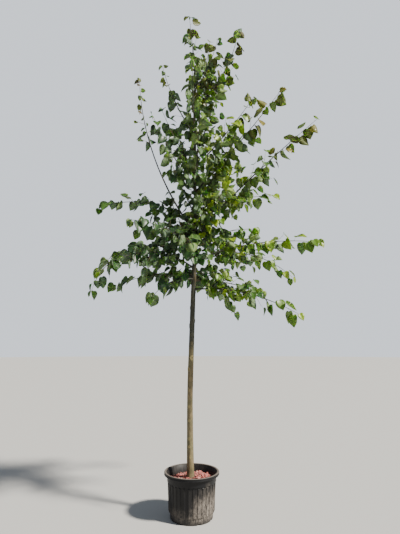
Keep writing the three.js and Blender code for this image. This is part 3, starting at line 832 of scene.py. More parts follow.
def leaf_shape():
    """One leaf of length 1, with which of its faces are under and its veins' mask."""
    rows = leaf_rows()
    bm = bmesh.new()
    vein = bm.verts.layers.float.new("vein")
    last = len(rows) - 1
    half = LEAF_THICK / 2
    for layer in (1, -1):
        for hand in (1, -1):
            grid = []
            for k, (wide, along, is_vein) in enumerate(rows):
                rib = LEAF_RIB[0] * (k / last) ** LEAF_RIB[1]
                lift = LEAF_PLEAT if is_vein else -LEAF_PLEAT
                line = []
                # The midrib has corners at the veins alone, and the margin also between them.
                if is_vein:
                    line.append(((0, rib, half * layer - LEAF_RIB_SAG * math.sin(math.pi * k / last)), 1.0))
                if layer > 0:
                    place = (hand * wide * LEAF_QUARTER, (rib + along) / 2, half + lift)
                    line.append((place, 0.5 * is_vein))
                line.append(((hand * wide, along, 0), 0.0))
                verts = []
                for place, value in line:
                    vert = bm.verts.new(place)
                    vert[vein] = value
                    verts.append(vert)
                grid.append(verts)
            patches = []
            for first, between, second in zip(grid[::2], grid[1::2], grid[2::2]):
                if layer > 0:
                    patches += [
                        [first[0], first[1], between[0]],
                        [first[0], between[0], second[0]],
                        [second[0], between[0], second[1]],
                        [first[1], first[2], between[1], between[0]],
                        [between[0], between[1], second[2], second[1]],
                    ]
                else:
                    patches.append([first[0], first[1], between[0], second[1], second[0]])
            for corners in patches:
                face = bm.faces.new(corners if layer * hand > 0 else corners[::-1])
                face.material_index = 0 if layer > 0 else 1
    bmesh.ops.remove_doubles(bm, verts=bm.verts, dist=1e-4)
    bmesh.ops.dissolve_degenerate(bm, edges=bm.edges, dist=1e-5)
    bm.verts.index_update()
    places = np.array([vert.co for vert in bm.verts])
    values = np.array([vert[vein] for vert in bm.verts])
    loops = np.array([vert.index for face in bm.faces for vert in face.verts])
    sizes = np.array([len(face.verts) for face in bm.faces])
    under = np.array([face.material_index for face in bm.faces])
    bm.free()
    return LeafShape(places, loops, sizes, under, values)


def leaf_copies(places, leaves, draw):
    """Every leaf's places, each folded, curled and waved in its own way."""
    count = len(leaves)
    x, y, z = places[:, 0], places[:, 1], places[:, 2]

    def each(low, high):
        return np.array([draw.uniform(low, high) for _ in range(count)])[:, None]

    fold, curl, wide = each(*LEAF_FOLD), each(*LEAF_CURL), each(*LEAF_WIDTH)
    wave, phase, twist = each(*LEAF_WAVE), each(0, math.tau), each(*LEAF_TWIST)
    waved = wave * np.sin(LEAF_WAVES * y + phase) * np.abs(x) / LEAF_HALF
    rise = z + fold * np.abs(x) - curl * y**2 + waved + twist * x * y
    local = np.stack([x * wide, y * np.ones((count, 1)), rise], axis=2)
    length = np.array([leaf.length for leaf in leaves])[:, None, None]
    blade = np.array([leaf.blade for leaf in leaves])
    face = np.array([leaf.face for leaf in leaves])
    across = np.cross(blade, face)
    base = np.array([leaf.base for leaf in leaves])[:, None, :]
    axes = np.stack([across, blade, face], axis=1)
    return base + length * np.einsum("lvk,lkc->lvc", local, axes)


def add_leaves(soup, sprays, shape, tone_slots, stalk_slot, draw):
    """The leaves of several sprays with their stalks. Tones take two slots each, upper and under."""
    leaves = [leaf for spray in sprays for leaf in spray.leaves]
    places = leaf_copies(shape.places, leaves, draw)
    tones = np.array([tone_slots[leaf.tone] for leaf in leaves])
    slots = tones[:, None] + shape.under[None, :]
    soup.add_copies(places, shape.loops, shape.sizes, slots, shape.veins)
    for leaf in leaves:
        arch = (leaf.base - leaf.root).length * STALK_ARCH[1]
        bend = leaf.root.lerp(leaf.base, STALK_ARCH[0]) + UP * arch
        points = [leaf.root, bend, leaf.base, leaf.base + leaf.blade * leaf.length * STALK_IN_BLADE]
        places, faces = tube(points, STALK_RADII, 3)
        soup.add(places, faces, stalk_slot)


class Nodes:
    """Short names for the nodes that the finishes are made of."""

    def __init__(self, tree):
        self.tree = tree

    def node(self, kind, **values):
        """A new node with its settings."""
        node = self.tree.nodes.new(kind)
        for key, value in values.items():
            setattr(node, key, value)
        return node

    def link(self, source, target):
        self.tree.links.new(source, target)

    def put(self, socket, value):
        """Sets a socket to a value, or links it where the value is another socket."""
        if isinstance(value, bpy.types.NodeSocket):
            self.link(value, socket)
        else:
            socket.default_value = (*value, 1) if socket.type == "RGBA" else value

    def coords(self, scale=(1, 1, 1)):
        """Object coordinates, scaled."""
        mapping = self.node("ShaderNodeMapping")
        self.link(self.node("ShaderNodeTexCoord").outputs["Object"], mapping.inputs["Vector"])
        mapping.inputs["Scale"].default_value = scale
        return mapping.outputs["Vector"]

    def noise(self, scale, detail=3.0, rough=0.55):
        """Noise over the object, stretched where three scales are given."""
        stretched = isinstance(scale, tuple)
        node = self.node("ShaderNodeTexNoise")
        self.link(self.coords(scale) if stretched else self.coords(), node.inputs["Vector"])
        self.put(node.inputs["Scale"], 1.0 if stretched else scale)
        node.inputs["Detail"].default_value = detail
        node.inputs["Roughness"].default_value = rough
        return node.outputs["Fac"]

    def cells(self, vector, scale):
        """Distance to the nearest of many scattered points."""
        node = self.node("ShaderNodeTexVoronoi")
        self.link(vector, node.inputs["Vector"])
        self.put(node.inputs["Scale"], scale)
        return node.outputs["Distance"]

    def ramp(self, *values):
        """A value carried smoothly from one span, low and high, to another, which is 0 to 1 if unsaid."""
        node = self.node("ShaderNodeMapRange", interpolation_type="SMOOTHSTEP")
        for title, value in zip(("Value", "From Min", "From Max", "To Min", "To Max"), values):
            self.put(node.inputs[title], value)
        return node.outputs["Result"]

    def math(self, operation, *values):
        node = self.node("ShaderNodeMath", operation=operation)
        for socket, value in zip(node.inputs, values):
            self.put(socket, value)
        return node.outputs["Value"]

    def times(self, *values):
        """A product of two values, with a third added where there is one."""
        return self.math("MULTIPLY_ADD" if len(values) == 3 else "MULTIPLY", *values)

    def blend(self, share, first, second):
        """The first colour, with a share of the second."""
        node = self.node("ShaderNodeMix", data_type="RGBA")
        self.put(node.inputs["Factor"], share)
        colours = [socket for socket in node.inputs if socket.type == "RGBA"]
        for socket, value in zip(colours, (first, second)):
            self.put(socket, value)
        return [socket for socket in node.outputs if socket.type == "RGBA"][0]

    def attribute(self, name):
        """A value that the mesh holds."""
        return self.node("ShaderNodeAttribute", attribute_name=name).outputs["Fac"]

    def along(self, direction):
        """How far the surface lies in a direction from the middle of the pot's underside."""
        node = self.node("ShaderNodeVectorMath", operation="DOT_PRODUCT")
        self.link(self.node("ShaderNodeTexCoord").outputs["Object"], node.inputs[0])
        node.inputs[1].default_value = direction
        return node.outputs["Value"]

    def use(self, name, **values):
        """The output of a shared effect, which is built when it is first used."""
        group = bpy.data.node_groups.get(name) or EFFECTS[name]()
        node = self.node("ShaderNodeGroup", node_tree=group)
        for title, value in values.items():
            self.put(node.inputs[title.capitalize()], value)
        return node.outputs[0]

    def bump(self, shader, height, strength, distance):
        """Fine relief, which the shader alone shows."""
        bump = self.node("ShaderNodeBump")
        bump.inputs["Strength"].default_value = strength
        bump.inputs["Distance"].default_value = distance
        self.link(height, bump.inputs["Height"])
        self.link(bump.outputs["Normal"], shader.inputs["Normal"])


def node_group(name, output, kind, inputs):
    """A new shader group: its tree, its nodes, what comes in, and where its one output goes."""
    group = bpy.data.node_groups.new(name, "ShaderNodeTree")
    for title, default in inputs.items():
        sort = "NodeSocketFloat" if isinstance(default, float) else "NodeSocketColor"
        group.interface.new_socket(title, in_out="INPUT", socket_type=sort).default_value = default
    group.interface.new_socket(output, in_out="OUTPUT", socket_type=kind)
    nodes = Nodes(group)
    start, end = nodes.node("NodeGroupInput"), nodes.node("NodeGroupOutput")
    return group, nodes, start.outputs, end.inputs[0]


def mottle_group():
    """Colour that varies a little from place to place, in light and in hue."""
    inputs = {"Colour": (0.5, 0.5, 0.5, 1), "Dark": (0.1, 0.1, 0.1, 1), "Scale": 20.0, "Amount": 0.4}
    group, nodes, start, end = node_group("Mottle", "Colour", "NodeSocketColor", inputs)
    patches = nodes.ramp(nodes.noise(start["Scale"], 4.0), 0.38, 0.64)
    share = nodes.times(patches, start["Amount"])
    nodes.link(nodes.blend(share, start["Colour"], start["Dark"]), end)
    return group


def fleck_group():
    """Scattered small flecks, stretched as the scale says: a mask."""
    inputs = {"Scale": 90.0, "Tall": 1.0, "Size": 0.25, "Cover": 0.5}
    group, nodes, start, end = node_group("Flecks", "Mask", "NodeSocketFloat", inputs)
    parts = nodes.node("ShaderNodeSeparateXYZ")
    nodes.link(nodes.coords(), parts.inputs["Vector"])
    joined = nodes.node("ShaderNodeCombineXYZ")
    nodes.link(parts.outputs["X"], joined.inputs["X"])
    nodes.link(parts.outputs["Y"], joined.inputs["Y"])
    nodes.link(nodes.math("DIVIDE", parts.outputs["Z"], start["Tall"]), joined.inputs["Z"])
    distance = nodes.cells(joined.outputs["Vector"], start["Scale"])
    outside = nodes.ramp(distance, nodes.times(start["Size"], 0.6), start["Size"])
    where = nodes.noise(nodes.times(start["Scale"], 0.12), 2.0)
    cover = [nodes.math("SUBTRACT", most, start["Cover"]) for most in (1.0, 1.12)]
    nodes.link(nodes.times(nodes.math("SUBTRACT", 1.0, outside), nodes.ramp(where, *cover)), end)
    return group


EFFECTS = {"Mottle": mottle_group, "Flecks": fleck_group}


def toned(colour, factor, lift=0.0):
    """A colour made darker or paler."""
    return tuple(min(value * factor + lift, 1.0) for value in colour)


def finish_of(name, roughness=0.5):
    """A new material, its nodes and its shader."""
    material = bpy.data.materials.new(name)
    material.use_nodes = True
    shader = material.node_tree.nodes["Principled BSDF"]
    shader.inputs["Roughness"].default_value = roughness
    return material, Nodes(material.node_tree), shader


def plastic_finish(settings, name, film_share):
    """Black plastic under a film of dust, with dried splashes near its foot and a rubbed rim. The splashes
    rise highest on the sunlit side, partly painted light, and the rim's top is partly a painted highlight.
    """
    material, nodes, shader = finish_of(name)
    height = nodes.along(UP)
    streaks = nodes.ramp(nodes.noise((70, 70, 3.0), 4.0, 0.55), 0.40, 0.66)
    clouds = nodes.ramp(nodes.noise(7.0, 5.0, 0.65), 0.36, 0.66)
    grain = nodes.noise(480.0, 4.0, 0.75)
    smears = nodes.noise((60, 60, 26), 4.0, 0.7)
    speckle = nodes.ramp(nodes.times(grain, 0.6, nodes.times(smears, 0.4)), 0.42, 0.60)
    wall = nodes.ramp(height, BAND_FOOT - 0.03, BAND_FOOT, 1.0, 0.2)
    film = nodes.times(nodes.times(nodes.times(streaks, 0.7, 0.3), wall), film_share)
    # A paler band round the rim's top: partly rubbed wear, partly a painted highlight on the top edge.
    rubbed_and_highlight = nodes.ramp(height, RIM_TOP - 0.004, RIM_TOP - 0.0005, 0.0, 0.42)
    # Dried splashes rise highest on the side towards the key light, and thin out upwards: partly real
    # dust, partly painted light that makes the sunlit side paler.
    side = nodes.ramp(nodes.along(SPLASHED_SUNLIT_SIDE), 0.01, 0.19, 0.065, 0.25)
    reach = nodes.math("SUBTRACT", nodes.times(clouds, 0.08, side), height)
    splash_and_sunlit = nodes.times(nodes.ramp(reach, -0.05, 0.14), nodes.times(speckle, 0.85, 0.06))
    splash_and_sunlit = nodes.times(splash_and_sunlit, nodes.ramp(height, 0.0, 0.06, 0.25, 1.0))
    dust_and_painted_light = nodes.math("MAXIMUM", nodes.math("MAXIMUM", film, rubbed_and_highlight), splash_and_sunlit)
    colour = settings.plastic
    plastic = nodes.use("Mottle", colour=colour, dark=toned(colour, 0.55), scale=14.0, amount=0.6)
    nodes.link(nodes.blend(dust_and_painted_light, plastic, settings.dust), shader.inputs["Base Color"])
    nodes.link(nodes.ramp(dust_and_painted_light, 0.0, 0.4, 0.46, 0.88), shader.inputs["Roughness"])
    shader.inputs["Specular IOR Level"].default_value = 0.25
    nodes.bump(shader, nodes.times(grain, 0.5, dust_and_painted_light), 0.35, 0.6 * MM)
    return material


def soil_finish():
    """Dark crumbs of damp soil."""
    material, nodes, shader = finish_of("potting_soil", 0.95)
    colour = nodes.use("Mottle", colour=SOIL, dark=SOIL_DARK, scale=70.0, amount=0.9)
    nodes.link(colour, shader.inputs["Base Color"])
    nodes.bump(shader, nodes.noise(220.0, 5.0, 0.7), 0.9, 2 * MM)
    return material


def chip_finish(name, colour):
    """Fibrous chips of bark in one tone, with paler fibres."""
    material, nodes, shader = finish_of(f"chip_{name}", 0.82)
    fibre = nodes.noise((420, 120, 420))
    tint = nodes.use("Mottle", colour=colour, dark=toned(colour, 0.45), scale=130.0, amount=0.7)
    tint = nodes.blend(nodes.ramp(fibre, 0.35, 0.7, 0.0, 0.35), tint, CHIP_FIBRE)
    nodes.link(tint, shader.inputs["Base Color"])
    nodes.bump(shader, fibre, 0.6, 0.8 * MM)
    return material


def bark_finish(name, colour, green, fleck_scale):
    """Smooth young bark: streaks, green algae, pale flecks across it, dark cracks and pale scars.
    High up it takes on a painted shade of the crown.
    """
    material, nodes, shader = finish_of(name, 0.78)
    pale = toned(colour, 2.1, 0.05)
    streak = nodes.noise((60, 60, 4.5), 5.0, 0.6)
    patch = nodes.noise((9, 9, 4), 5.0, 0.7)
    flecks = nodes.use("Flecks", scale=fleck_scale, tall=0.45, size=0.26, cover=0.50)
    crack = nodes.attribute("crack")
    # Painted shade: above these heights the bark darkens, in patches, towards a dark green-grey that stands
    # in for the crown's shadow on the upper trunk and on all the boughs.
    shade = nodes.ramp(nodes.along(UP), *BARK_PAINTED_SHADE_HEIGHTS, 0.0, 0.88)
    tint = nodes.use("Mottle", colour=colour, dark=green, scale=6.0, amount=0.75)
    for share, other in (
        (nodes.ramp(streak, 0.42, 0.72, 0.0, 0.75), toned(colour, 0.42)),
        (nodes.ramp(patch, 0.56, 0.72, 0.0, 0.55), pale),
        (nodes.times(flecks, 0.45), pale),
        (nodes.times(crack, 0.8), toned(colour, 0.22)),
        (nodes.times(nodes.attribute("scar"), 0.55), BARK_SCAR),
        (nodes.times(shade, nodes.ramp(patch, 0.50, 0.68, 1.0, 0.25)), BARK_PAINTED_SHADE),
    ):
        tint = nodes.blend(share, tint, other)
    nodes.link(tint, shader.inputs["Base Color"])
    nodes.link(nodes.ramp(patch, 0.4, 0.7, 0.68, 0.88), shader.inputs["Roughness"])
    fine = nodes.noise((220, 220, 45), 4.0, 0.65)
    relief = nodes.math("ADD", fine, nodes.times(flecks, 0.8))
    nodes.bump(shader, nodes.math("SUBTRACT", relief, crack), 0.7, 0.8 * MM)
    return material


def shoot_finish(name, colour, dark):
    """The smooth skin of a twig, bud or stalk, with small pale flecks."""
    material, nodes, shader = finish_of(name, 0.55)
    tint = nodes.use("Mottle", colour=colour, dark=dark, scale=16.0, amount=0.9)
    flecks = nodes.use("Flecks", scale=420.0, tall=1.6, size=0.3, cover=0.6)
    tint = nodes.blend(nodes.times(flecks, 0.6), tint, toned(colour, 2.6))
    nodes.link(tint, shader.inputs["Base Color"])
    nodes.bump(shader, flecks, 0.4, 0.3 * MM)
    return material


def leaf_finish(name, colour, vein_lift, roughness, sheen, glow):
    """One plain tone with paler veins and a faint mottle. Some light passes through the blade."""
    material, nodes, shader = finish_of(name, roughness)
    vein = nodes.ramp(nodes.attribute("vein"), 0.55, 1.0)
    tint = nodes.use("Mottle", colour=colour, dark=toned(colour, 0.78), scale=75.0, amount=0.8)
    tint = nodes.blend(nodes.times(vein, VEIN_SHARE), tint, toned(colour, vein_lift, 0.012))
    nodes.link(tint, shader.inputs["Base Color"])
    nodes.bump(shader, nodes.noise(420.0, 2.0), 0.25, 0.4 * MM)
    shader.inputs["Specular IOR Level"].default_value = sheen
    shader.inputs["Subsurface Weight"].default_value = glow
    shader.inputs["Subsurface Radius"].default_value = (0.55, 1.0, 0.12)
    shader.inputs["Subsurface Scale"].default_value = 0.004
    return material


def floor_finish(settings):
    """The plain pale floor."""
    material, nodes, shader = finish_of("pale_floor", 0.9)
    nodes.put(shader.inputs["Base Color"], settings.floor)
    return material


def arc(centre, radius, start, end, steps):
    """Points of radius and height on an arc, angles in degrees."""
    turns = [math.radians(start + (end - start) * k / steps) for k in range(steps + 1)]
    return [(centre[0] + radius * math.cos(turn), centre[1] + radius * math.sin(turn)) for turn in turns]


def lathed(profile, columns):
    """A profile of radius and height, spun round +Z into a closed shell."""
    bm = bmesh.new()
    verts = [bm.verts.new((radius, 0, height)) for radius, height in profile]
    edges = [bm.edges.new(pair) for pair in zip(verts, verts[1:])]
    bmesh.ops.spin(
        bm, geom=verts + edges, cent=(0, 0, 0), axis=(0, 0, 1), angle=math.tau, steps=columns, use_merge=True
    )
    bmesh.ops.remove_doubles(bm, verts=bm.verts, dist=1e-6)
    bmesh.ops.recalc_face_normals(bm, faces=bm.faces)
    return bm


def applied(piece):
    """Bakes a piece's modifiers into its mesh."""
    graph = bpy.context.evaluated_depsgraph_get()
    mesh = bpy.data.meshes.new_from_object(piece.evaluated_get(graph), depsgraph=graph)
    old = piece.data
    piece.modifiers.clear()
    piece.data = mesh
    bpy.data.meshes.remove(old)
    mesh.name = piece.name


def pot_profile(rim_radius):
    """The pot's outline from the middle of its underside round to the middle of its floor."""
    rim_foot = RIM_TOP - RIM_HEIGHT
    lip = rim_radius - RIM_ROLL
    outside = [(0.0, 0.0), (FOOT_RADIUS * 0.5, 0.0), (FOOT_RADIUS - 0.012, 0.0)]
    outside += arc((FOOT_RADIUS - 0.004, 0.004), 0.004, -90, 0, 3)
    outside += [
        (FOOT_RADIUS + 0.0015, DRAIN_HEIGHT + 0.008),
        (WALL_FOOT_RADIUS - 0.004, WALL_FOOT - 0.002),
        (WALL_FOOT_RADIUS, WALL_FOOT + 0.002),
        (WALL_FOOT_RADIUS + 0.003, WALL_FOOT + 0.012),
        ((WALL_FOOT_RADIUS + WALL_TOP_RADIUS) / 2, (WALL_FOOT + BAND_FOOT) / 2),
        (WALL_TOP_RADIUS - 0.001, BAND_FOOT - 0.014),
        (WALL_TOP_RADIUS, BAND_FOOT - 0.004),
        (BAND_RADIUS - 0.003, BAND_FOOT),
        (BAND_RADIUS - 0.002, BAND_FOOT + 0.004),
        (BAND_RADIUS, rim_foot + 0.005),
        (BAND_RADIUS + 0.003, rim_foot + 0.007),
        (lip - 0.004, rim_foot),
    ]
    outside += arc((lip + 0.001, rim_foot + 0.005), 0.005, -90, 0, 3)
    outside += [(lip + 0.003, RIM_TOP - 0.013)]
    outside += arc((lip, RIM_TOP - RIM_ROLL), RIM_ROLL, 0, 90, 5)
    inside = [
        (rim_radius - RIM_WIDTH + 0.006, RIM_TOP - 0.0005),
        (rim_radius - RIM_WIDTH + 0.001, RIM_TOP - 0.003),
        (rim_radius - RIM_WIDTH - 0.001, RIM_TOP - 0.010),
        (BAND_RADIUS - WALL, rim_foot + 0.006),
        (WALL_TOP_RADIUS - WALL, BAND_FOOT - 0.004),
        (FOOT_RADIUS - WALL - 0.002, WALL),
        (FOOT_RADIUS * 0.5, WALL),
        (0.0, WALL),
    ]
    return outside + inside


def add_ribs(bm):
    """Every third column of the wall stands out as a rib."""
    columns = RIB_COUNT * RIB_COLUMNS
    strips = {}
    for face in bm.faces:
        middle = face.calc_center_median()
        radius = math.hypot(middle.x, middle.y)
        outside = radius > WALL_FOOT_RADIUS - MM + (middle.z - WALL_FOOT) * WALL_LEAN
        if WALL_FOOT + RIB_ENDS[0] < middle.z < BAND_FOOT - RIB_ENDS[1] and outside:
            column = int((math.atan2(middle.y, middle.x) % math.tau) / math.tau * columns)
            if column % RIB_COLUMNS == 1:
                strips.setdefault(column, []).append(face)
    for column, faces in strips.items():
        verts = verts_in(bmesh.ops.extrude_face_region(bm, geom=faces))
        bmesh.ops.delete(bm, geom=faces, context="FACES_KEEP_BOUNDARY")
        turn = (column + 0.5) / columns * math.tau
        out = Vector((math.cos(turn), math.sin(turn), 0))
        side = Vector((-out.y, out.x, 0))
        low = min(vert.co.z for vert in verts)
        high = max(vert.co.z for vert in verts)
        for vert in verts:
            vert.co += out * RIB_DEPTH - side * side.dot(vert.co) * RIB_TAPER
            vert.co.z += RIB_DEPTH if vert.co.z == low else -RIB_DEPTH if vert.co.z == high else 0


def drain_cutter():
    """Arched blocks, one for each drain slot."""
    bm = bmesh.new()
    for k in range(DRAIN_COUNT):
        turn = math.radians(-90 + DRAIN_TURN + 360 / DRAIN_COUNT * k)
        place = Matrix.Rotation(turn, 4, "Z") @ Matrix.Translation((FOOT_RADIUS, 0, 0))
        size = Matrix.Diagonal((2 * WALL + DRAIN_PAST, DRAIN_WIDTH / 2, DRAIN_HEIGHT, 1))
        bmesh.ops.create_cone(
            bm,
            cap_ends=True,
            segments=DRAIN_SIDES,
            radius1=1,
            radius2=1,
            depth=2,
            matrix=place @ size @ Matrix.Rotation(math.radians(90), 4, "Y"),
        )
    bmesh.ops.recalc_face_normals(bm, faces=bm.faces)
    return piece_of(bm, "drain_cutter")


class LINDEN_OT_pot(bpy.types.Operator):
    """The black nursery pot with its rolled rim, ribs and drain slots"""

    bl_idname = "linden.pot"
    bl_label = "Pot"

    def execute(self, context):
        settings = context.scene.linden_pot
        bm = lathed(pot_profile(settings.rim_radius), RIB_COUNT * RIB_COLUMNS)
        add_ribs(bm)
        finishes = [plastic_finish(settings, name, film) for name, film in FILMS.items()]
        pot = piece_of(bm, "nursery_pot", *finishes)
        cutter = drain_cutter()
        slots = pot.modifiers.new("Drain slots", "BOOLEAN")
        slots.operation = "DIFFERENCE"
        slots.solver = "EXACT"
        slots.object = cutter
        soften = pot.modifiers.new("Soft edges", "BEVEL")
        soften.width = EDGE_WIDTH
        soften.segments = 2
        soften.limit_method = "ANGLE"
        soften.angle_limit = math.radians(EDGE_ANGLE)
        applied(pot)
        bpy.data.objects.remove(cutter)
        for polygon in pot.data.polygons:
            polygon.use_smooth = True
            inward = -polygon.normal.x * polygon.center.x - polygon.normal.y * polygon.center.y
            polygon.material_index = 1 if inward > INWARD else 0
        pot.data.set_sharp_from_angle(angle=math.radians(SHARP_ANGLE))
        ridden(pot, "pot", "pot")
        return {"FINISHED"}


def bed_height(x, y):
    """How high the bed of chips lies at a place, heaped beside the trunk and uneven all over."""
    away = math.hypot(x - HEAP[0], y - HEAP[1])
    heap = HEAP_RISE * math.exp(-((away / HEAP_SPREAD) ** 2))
    height = CHIPS_TOP + heap
    for scale, rise, level in BED_LUMPS:
        height += rise * noise.noise(Vector((x * scale, y * scale, level)))
    return height


class LINDEN_OT_soil(bpy.types.Operator):
    """The potting soil, a bed of fine chips, and the loose red chips on it"""

    bl_idname = "linden.soil"
    bl_label = "Soil and chips"

    def execute(self, context):
        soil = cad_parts["soil"]
        soil.data.materials.clear()
        soil.data.materials.append(soil_finish())
        materials = [chip_finish(name, colour) for name, colour in CHIP_TONES.items()]
        edge = CHIPS_HIGH.x
        top = [(edge * k / BED_RINGS, CHIPS_TOP) for k in range(BED_RINGS, -1, -1)]
        bm = lathed([(0.0, CHIPS_LOW.z), (edge, CHIPS_LOW.z)] + top, BED_SIDES)
        for vert in bm.verts:
            if vert.co.z > CHIPS_LOW.z + MM:
                vert.co.z = bed_height(vert.co.x, vert.co.y)
        # The bed is dark: partly the fines' own colour, partly painted shade in the gaps between the loose
        # chips.
        bed = piece_of(bm, "chip_bed", chip_finish("fines", CHIP_FINES_AND_GAP_SHADE))
        ridden(bed, "chips", "chips")

        draw = random.Random(SEED)
        soup = Soup()
        corners = np.array([(x, y, z) for x in (-0.5, 0.5) for y in (-0.5, 0.5) for z in (-0.5, 0.5)])
        faces = [(0, 1, 3, 2), (4, 6, 7, 5), (0, 4, 5, 1), (2, 3, 7, 6), (0, 2, 6, 4), (1, 5, 7, 3)]
        trunk_room = TRUNK[0].radius + CHIP_ROOM[0]
        for _ in range(context.scene.linden_pot.chips):
            turn = draw.uniform(0, math.tau)
            reach = math.sqrt(draw.uniform((trunk_room / edge) ** 2, 1)) * (edge - CHIP_ROOM[1])
            x, y = reach * math.cos(turn), reach * math.sin(turn)
            size = [draw.uniform(*CHIP_LENGTH), draw.uniform(*CHIP_WIDTH), draw.uniform(*CHIP_THICK)]
            rough = np.array([[draw.uniform(-CHIP_ROUGH, CHIP_ROUGH) for _ in range(3)] for _ in range(8)])
            shape = corners * size * (1 + rough)
            level = Vector((draw.uniform(-1, 1), draw.uniform(-1, 1), 0)).normalized()
            tilt = Quaternion(level, draw.gauss(0, CHIP_TILT))
            spin = Quaternion(UP, draw.uniform(0, math.tau))
            places = shape @ np.array((tilt @ spin).to_matrix()).T
            places += (x, y, bed_height(x, y) + draw.uniform(*CHIP_SINK))
            if np.hypot(places[:, 0], places[:, 1]).max() > edge + CHIP_OVER:
                continue
            tone = draw.choices(range(len(materials)), CHIP_SHARES)[0]
            soup.add(places, faces, tone)
        chips = soup.build("loose_chips", materials, "grain")
        for polygon in chips.data.polygons:
            polygon.use_smooth = False
        ridden(chips, "chips")
        return {"FINISHED"}


def bell(distance, middle, width):
    """1 at the middle, falling off smoothly on both sides."""
    return np.exp(-(((distance - middle) / width) ** 2))


def turn_from(angle, heading):
    """How far angles lie from a compass heading, the shorter way round."""
    return (angle - math.radians(heading) + math.pi) % math.tau - math.pi


def knot_relief(angle, height, radius):
    """Healed knots: their lips and hollows, where the lip is pale, and where the hollow is dark."""
    relief, scar, hollow = (np.zeros(len(angle)) for _ in range(3))
    for knot in KNOTS:
        across = turn_from(angle, knot.heading) * radius
        distance = np.hypot(across, (height - knot.height) * KNOT_TALL) / knot.size
        relief += knot.rise * (bell(distance, *KNOT_LIP) - KNOT_DEPTH * bell(distance, *KNOT_HOLLOW))
        scar = np.maximum(scar, bell(distance, *KNOT_SCAR))
        hollow = np.maximum(hollow, bell(distance, *KNOT_DARK))
    return relief, scar, hollow


def collar_relief(angle, height, radius):
    """The trunk swells a little where a bough leaves it."""
    relief = np.zeros(len(angle))
    for bough in BOUGHS[:-1]:
        thick = bough_radius(bough, 0)
        rise = radius * math.tan(math.radians(bough.launch)) * COLLAR_RISE
        distance = np.hypot(turn_from(angle, bough.heading) * radius, height - bough.foot - rise)
        relief += COLLAR[0] * thick * bell(distance, 0, COLLAR[1] * thick)
    return relief


def crack_at(place, around, tall):
    """Long narrow cracks up and down the bark, 0 to 1."""
    x, y, z = place.x * around, place.y * around, place.z * tall
    ridge = 1 - abs(noise.noise(Vector((x, y, z)))) * CRACK_NARROW
    wide, high = CRACK_PATCH
    patch = noise.noise(Vector((x * wide, y * wide, z * high + CRACK_PATCH_SLICE)))
    deep = min(max((ridge - CRACK_FROM) * CRACK_DEEPEN, 0), 1)
    return deep * min(max(CRACK_SHARE + patch * CRACK_CONTRAST, 0), 1)


class LINDEN_OT_trunk(bpy.types.Operator):
    """The trunk, one piece from its flat cut at the soil to the leader, with the bark's relief"""

    bl_idname = "linden.trunk"
    bl_label = "Trunk"

    def execute(self, context):
        settings = context.scene.linden_bark
        span = TRUNK_HIGH.z - TRUNK_LOW.z
        rings = round(span / TRUNK_RING)
        heights = [TRUNK_LOW.z + span * k / rings for k in range(rings + 1)]
        profile = [(0, heights[0])] + [(trunk_at(z)[1], z) for z in heights] + [(0, heights[-1])]
        bm = lathed(profile, TRUNK_SIDES)
        verts = list(bm.verts)
        places = np.array([vert.co for vert in verts])
        angle = np.arctan2(places[:, 1], places[:, 0])
        middles = np.array([trunk_at(z)[0] for z in places[:, 2]])
        radius = np.hypot(places[:, 0], places[:, 1])
        knots, scar, hollow = knot_relief(angle, places[:, 2], radius)
        collars = collar_relief(angle, places[:, 2], radius)
        crack = np.zeros(len(verts))
        lumps = np.zeros(len(verts))
        wide, tall = TRUNK_FINE
        for k, (turn, z) in enumerate(zip(angle, places[:, 2])):
            around = Vector((math.cos(turn), math.sin(turn), z))
            crack[k] = crack_at(around, *TRUNK_CRACKS)
            fine = noise.noise(Vector((around.x * wide, around.y * wide, z * tall)))
            lumps[k] = noise.noise(around * TRUNK_BROAD) + TRUNK_FINE_SHARE * fine
        fade = np.clip(radius / TRUNK_FADE, 0, 1)
        shift = knots + collars + fade * (TRUNK_LUMPS * lumps - settings.crack * crack)
        scale = np.where(radius > 0, 1 + shift / np.maximum(radius, 1e-6), 0)
        # Only x and y move, so the cut on the soil stays flat.
        places[:, :2] = places[:, :2] * scale[:, None] + middles[:, :2]
        for vert, place in zip(verts, places):
            vert.co = place
        finish = bark_finish("trunk_bark", settings.trunk, TRUNK_ALGAE, TRUNK_FLECKS)
        trunk = piece_of(bm, "trunk_bark", finish)
        add_values(trunk.data, "crack", np.maximum(crack, hollow))
        add_values(trunk.data, "scar", scar)
        ridden(trunk, "trunk_bark", "trunk")
        return {"FINISHED"}


def bough_tube(bm, bough):
    """One bough from inside the trunk to its tip, extruded ring by ring."""
    line = line_of(bough)
    rings = max(8, round(bough.reach / BOUGH_RING))
    side = UP.copy()
    edges, before = None, None
    trunk_radius = trunk_at(bough.foot)[1]
    for k in range(rings + 1):
        length = bough.reach * k / rings
        middle, along = place_on(line, bough.reach, length)
        side = (side - along * side.dot(along)).normalized()
        past = max(length - trunk_radius, 0)
        flare = 1 + BOUGH_FLARE * math.exp(-((past / BOUGH_FLARE_REACH) ** BOUGH_FLARE_ROUND))
        radius = bough_radius(bough, k / rings) * flare
        radius *= 1 + NODE_SWELL * math.sin(length / NODE * math.tau)
        other = along.cross(side)
        turn = Matrix((side, other, along)).transposed().to_4x4()
        place = Matrix.Translation(middle) @ turn @ Matrix.Diagonal((radius, radius, 1, 1))
        if edges is None:
            made = bmesh.ops.create_circle(bm, cap_ends=True, segments=BOUGH_SIDES, radius=1, matrix=place)
            edges = list({edge for vert in made["verts"] for edge in vert.link_edges})
        else:
            made = bmesh.ops.extrude_edge_only(bm, edges=edges)
            verts = verts_in(made)
            made = [item for item in made["geom"] if isinstance(item, bmesh.types.BMEdge)]
            edges = [edge for edge in made if all(vert in verts for vert in edge.verts)]
            bmesh.ops.transform(bm, matrix=place @ before.inverted(), verts=verts)
        before = place
    bmesh.ops.edgeloop_fill(bm, edges=edges)


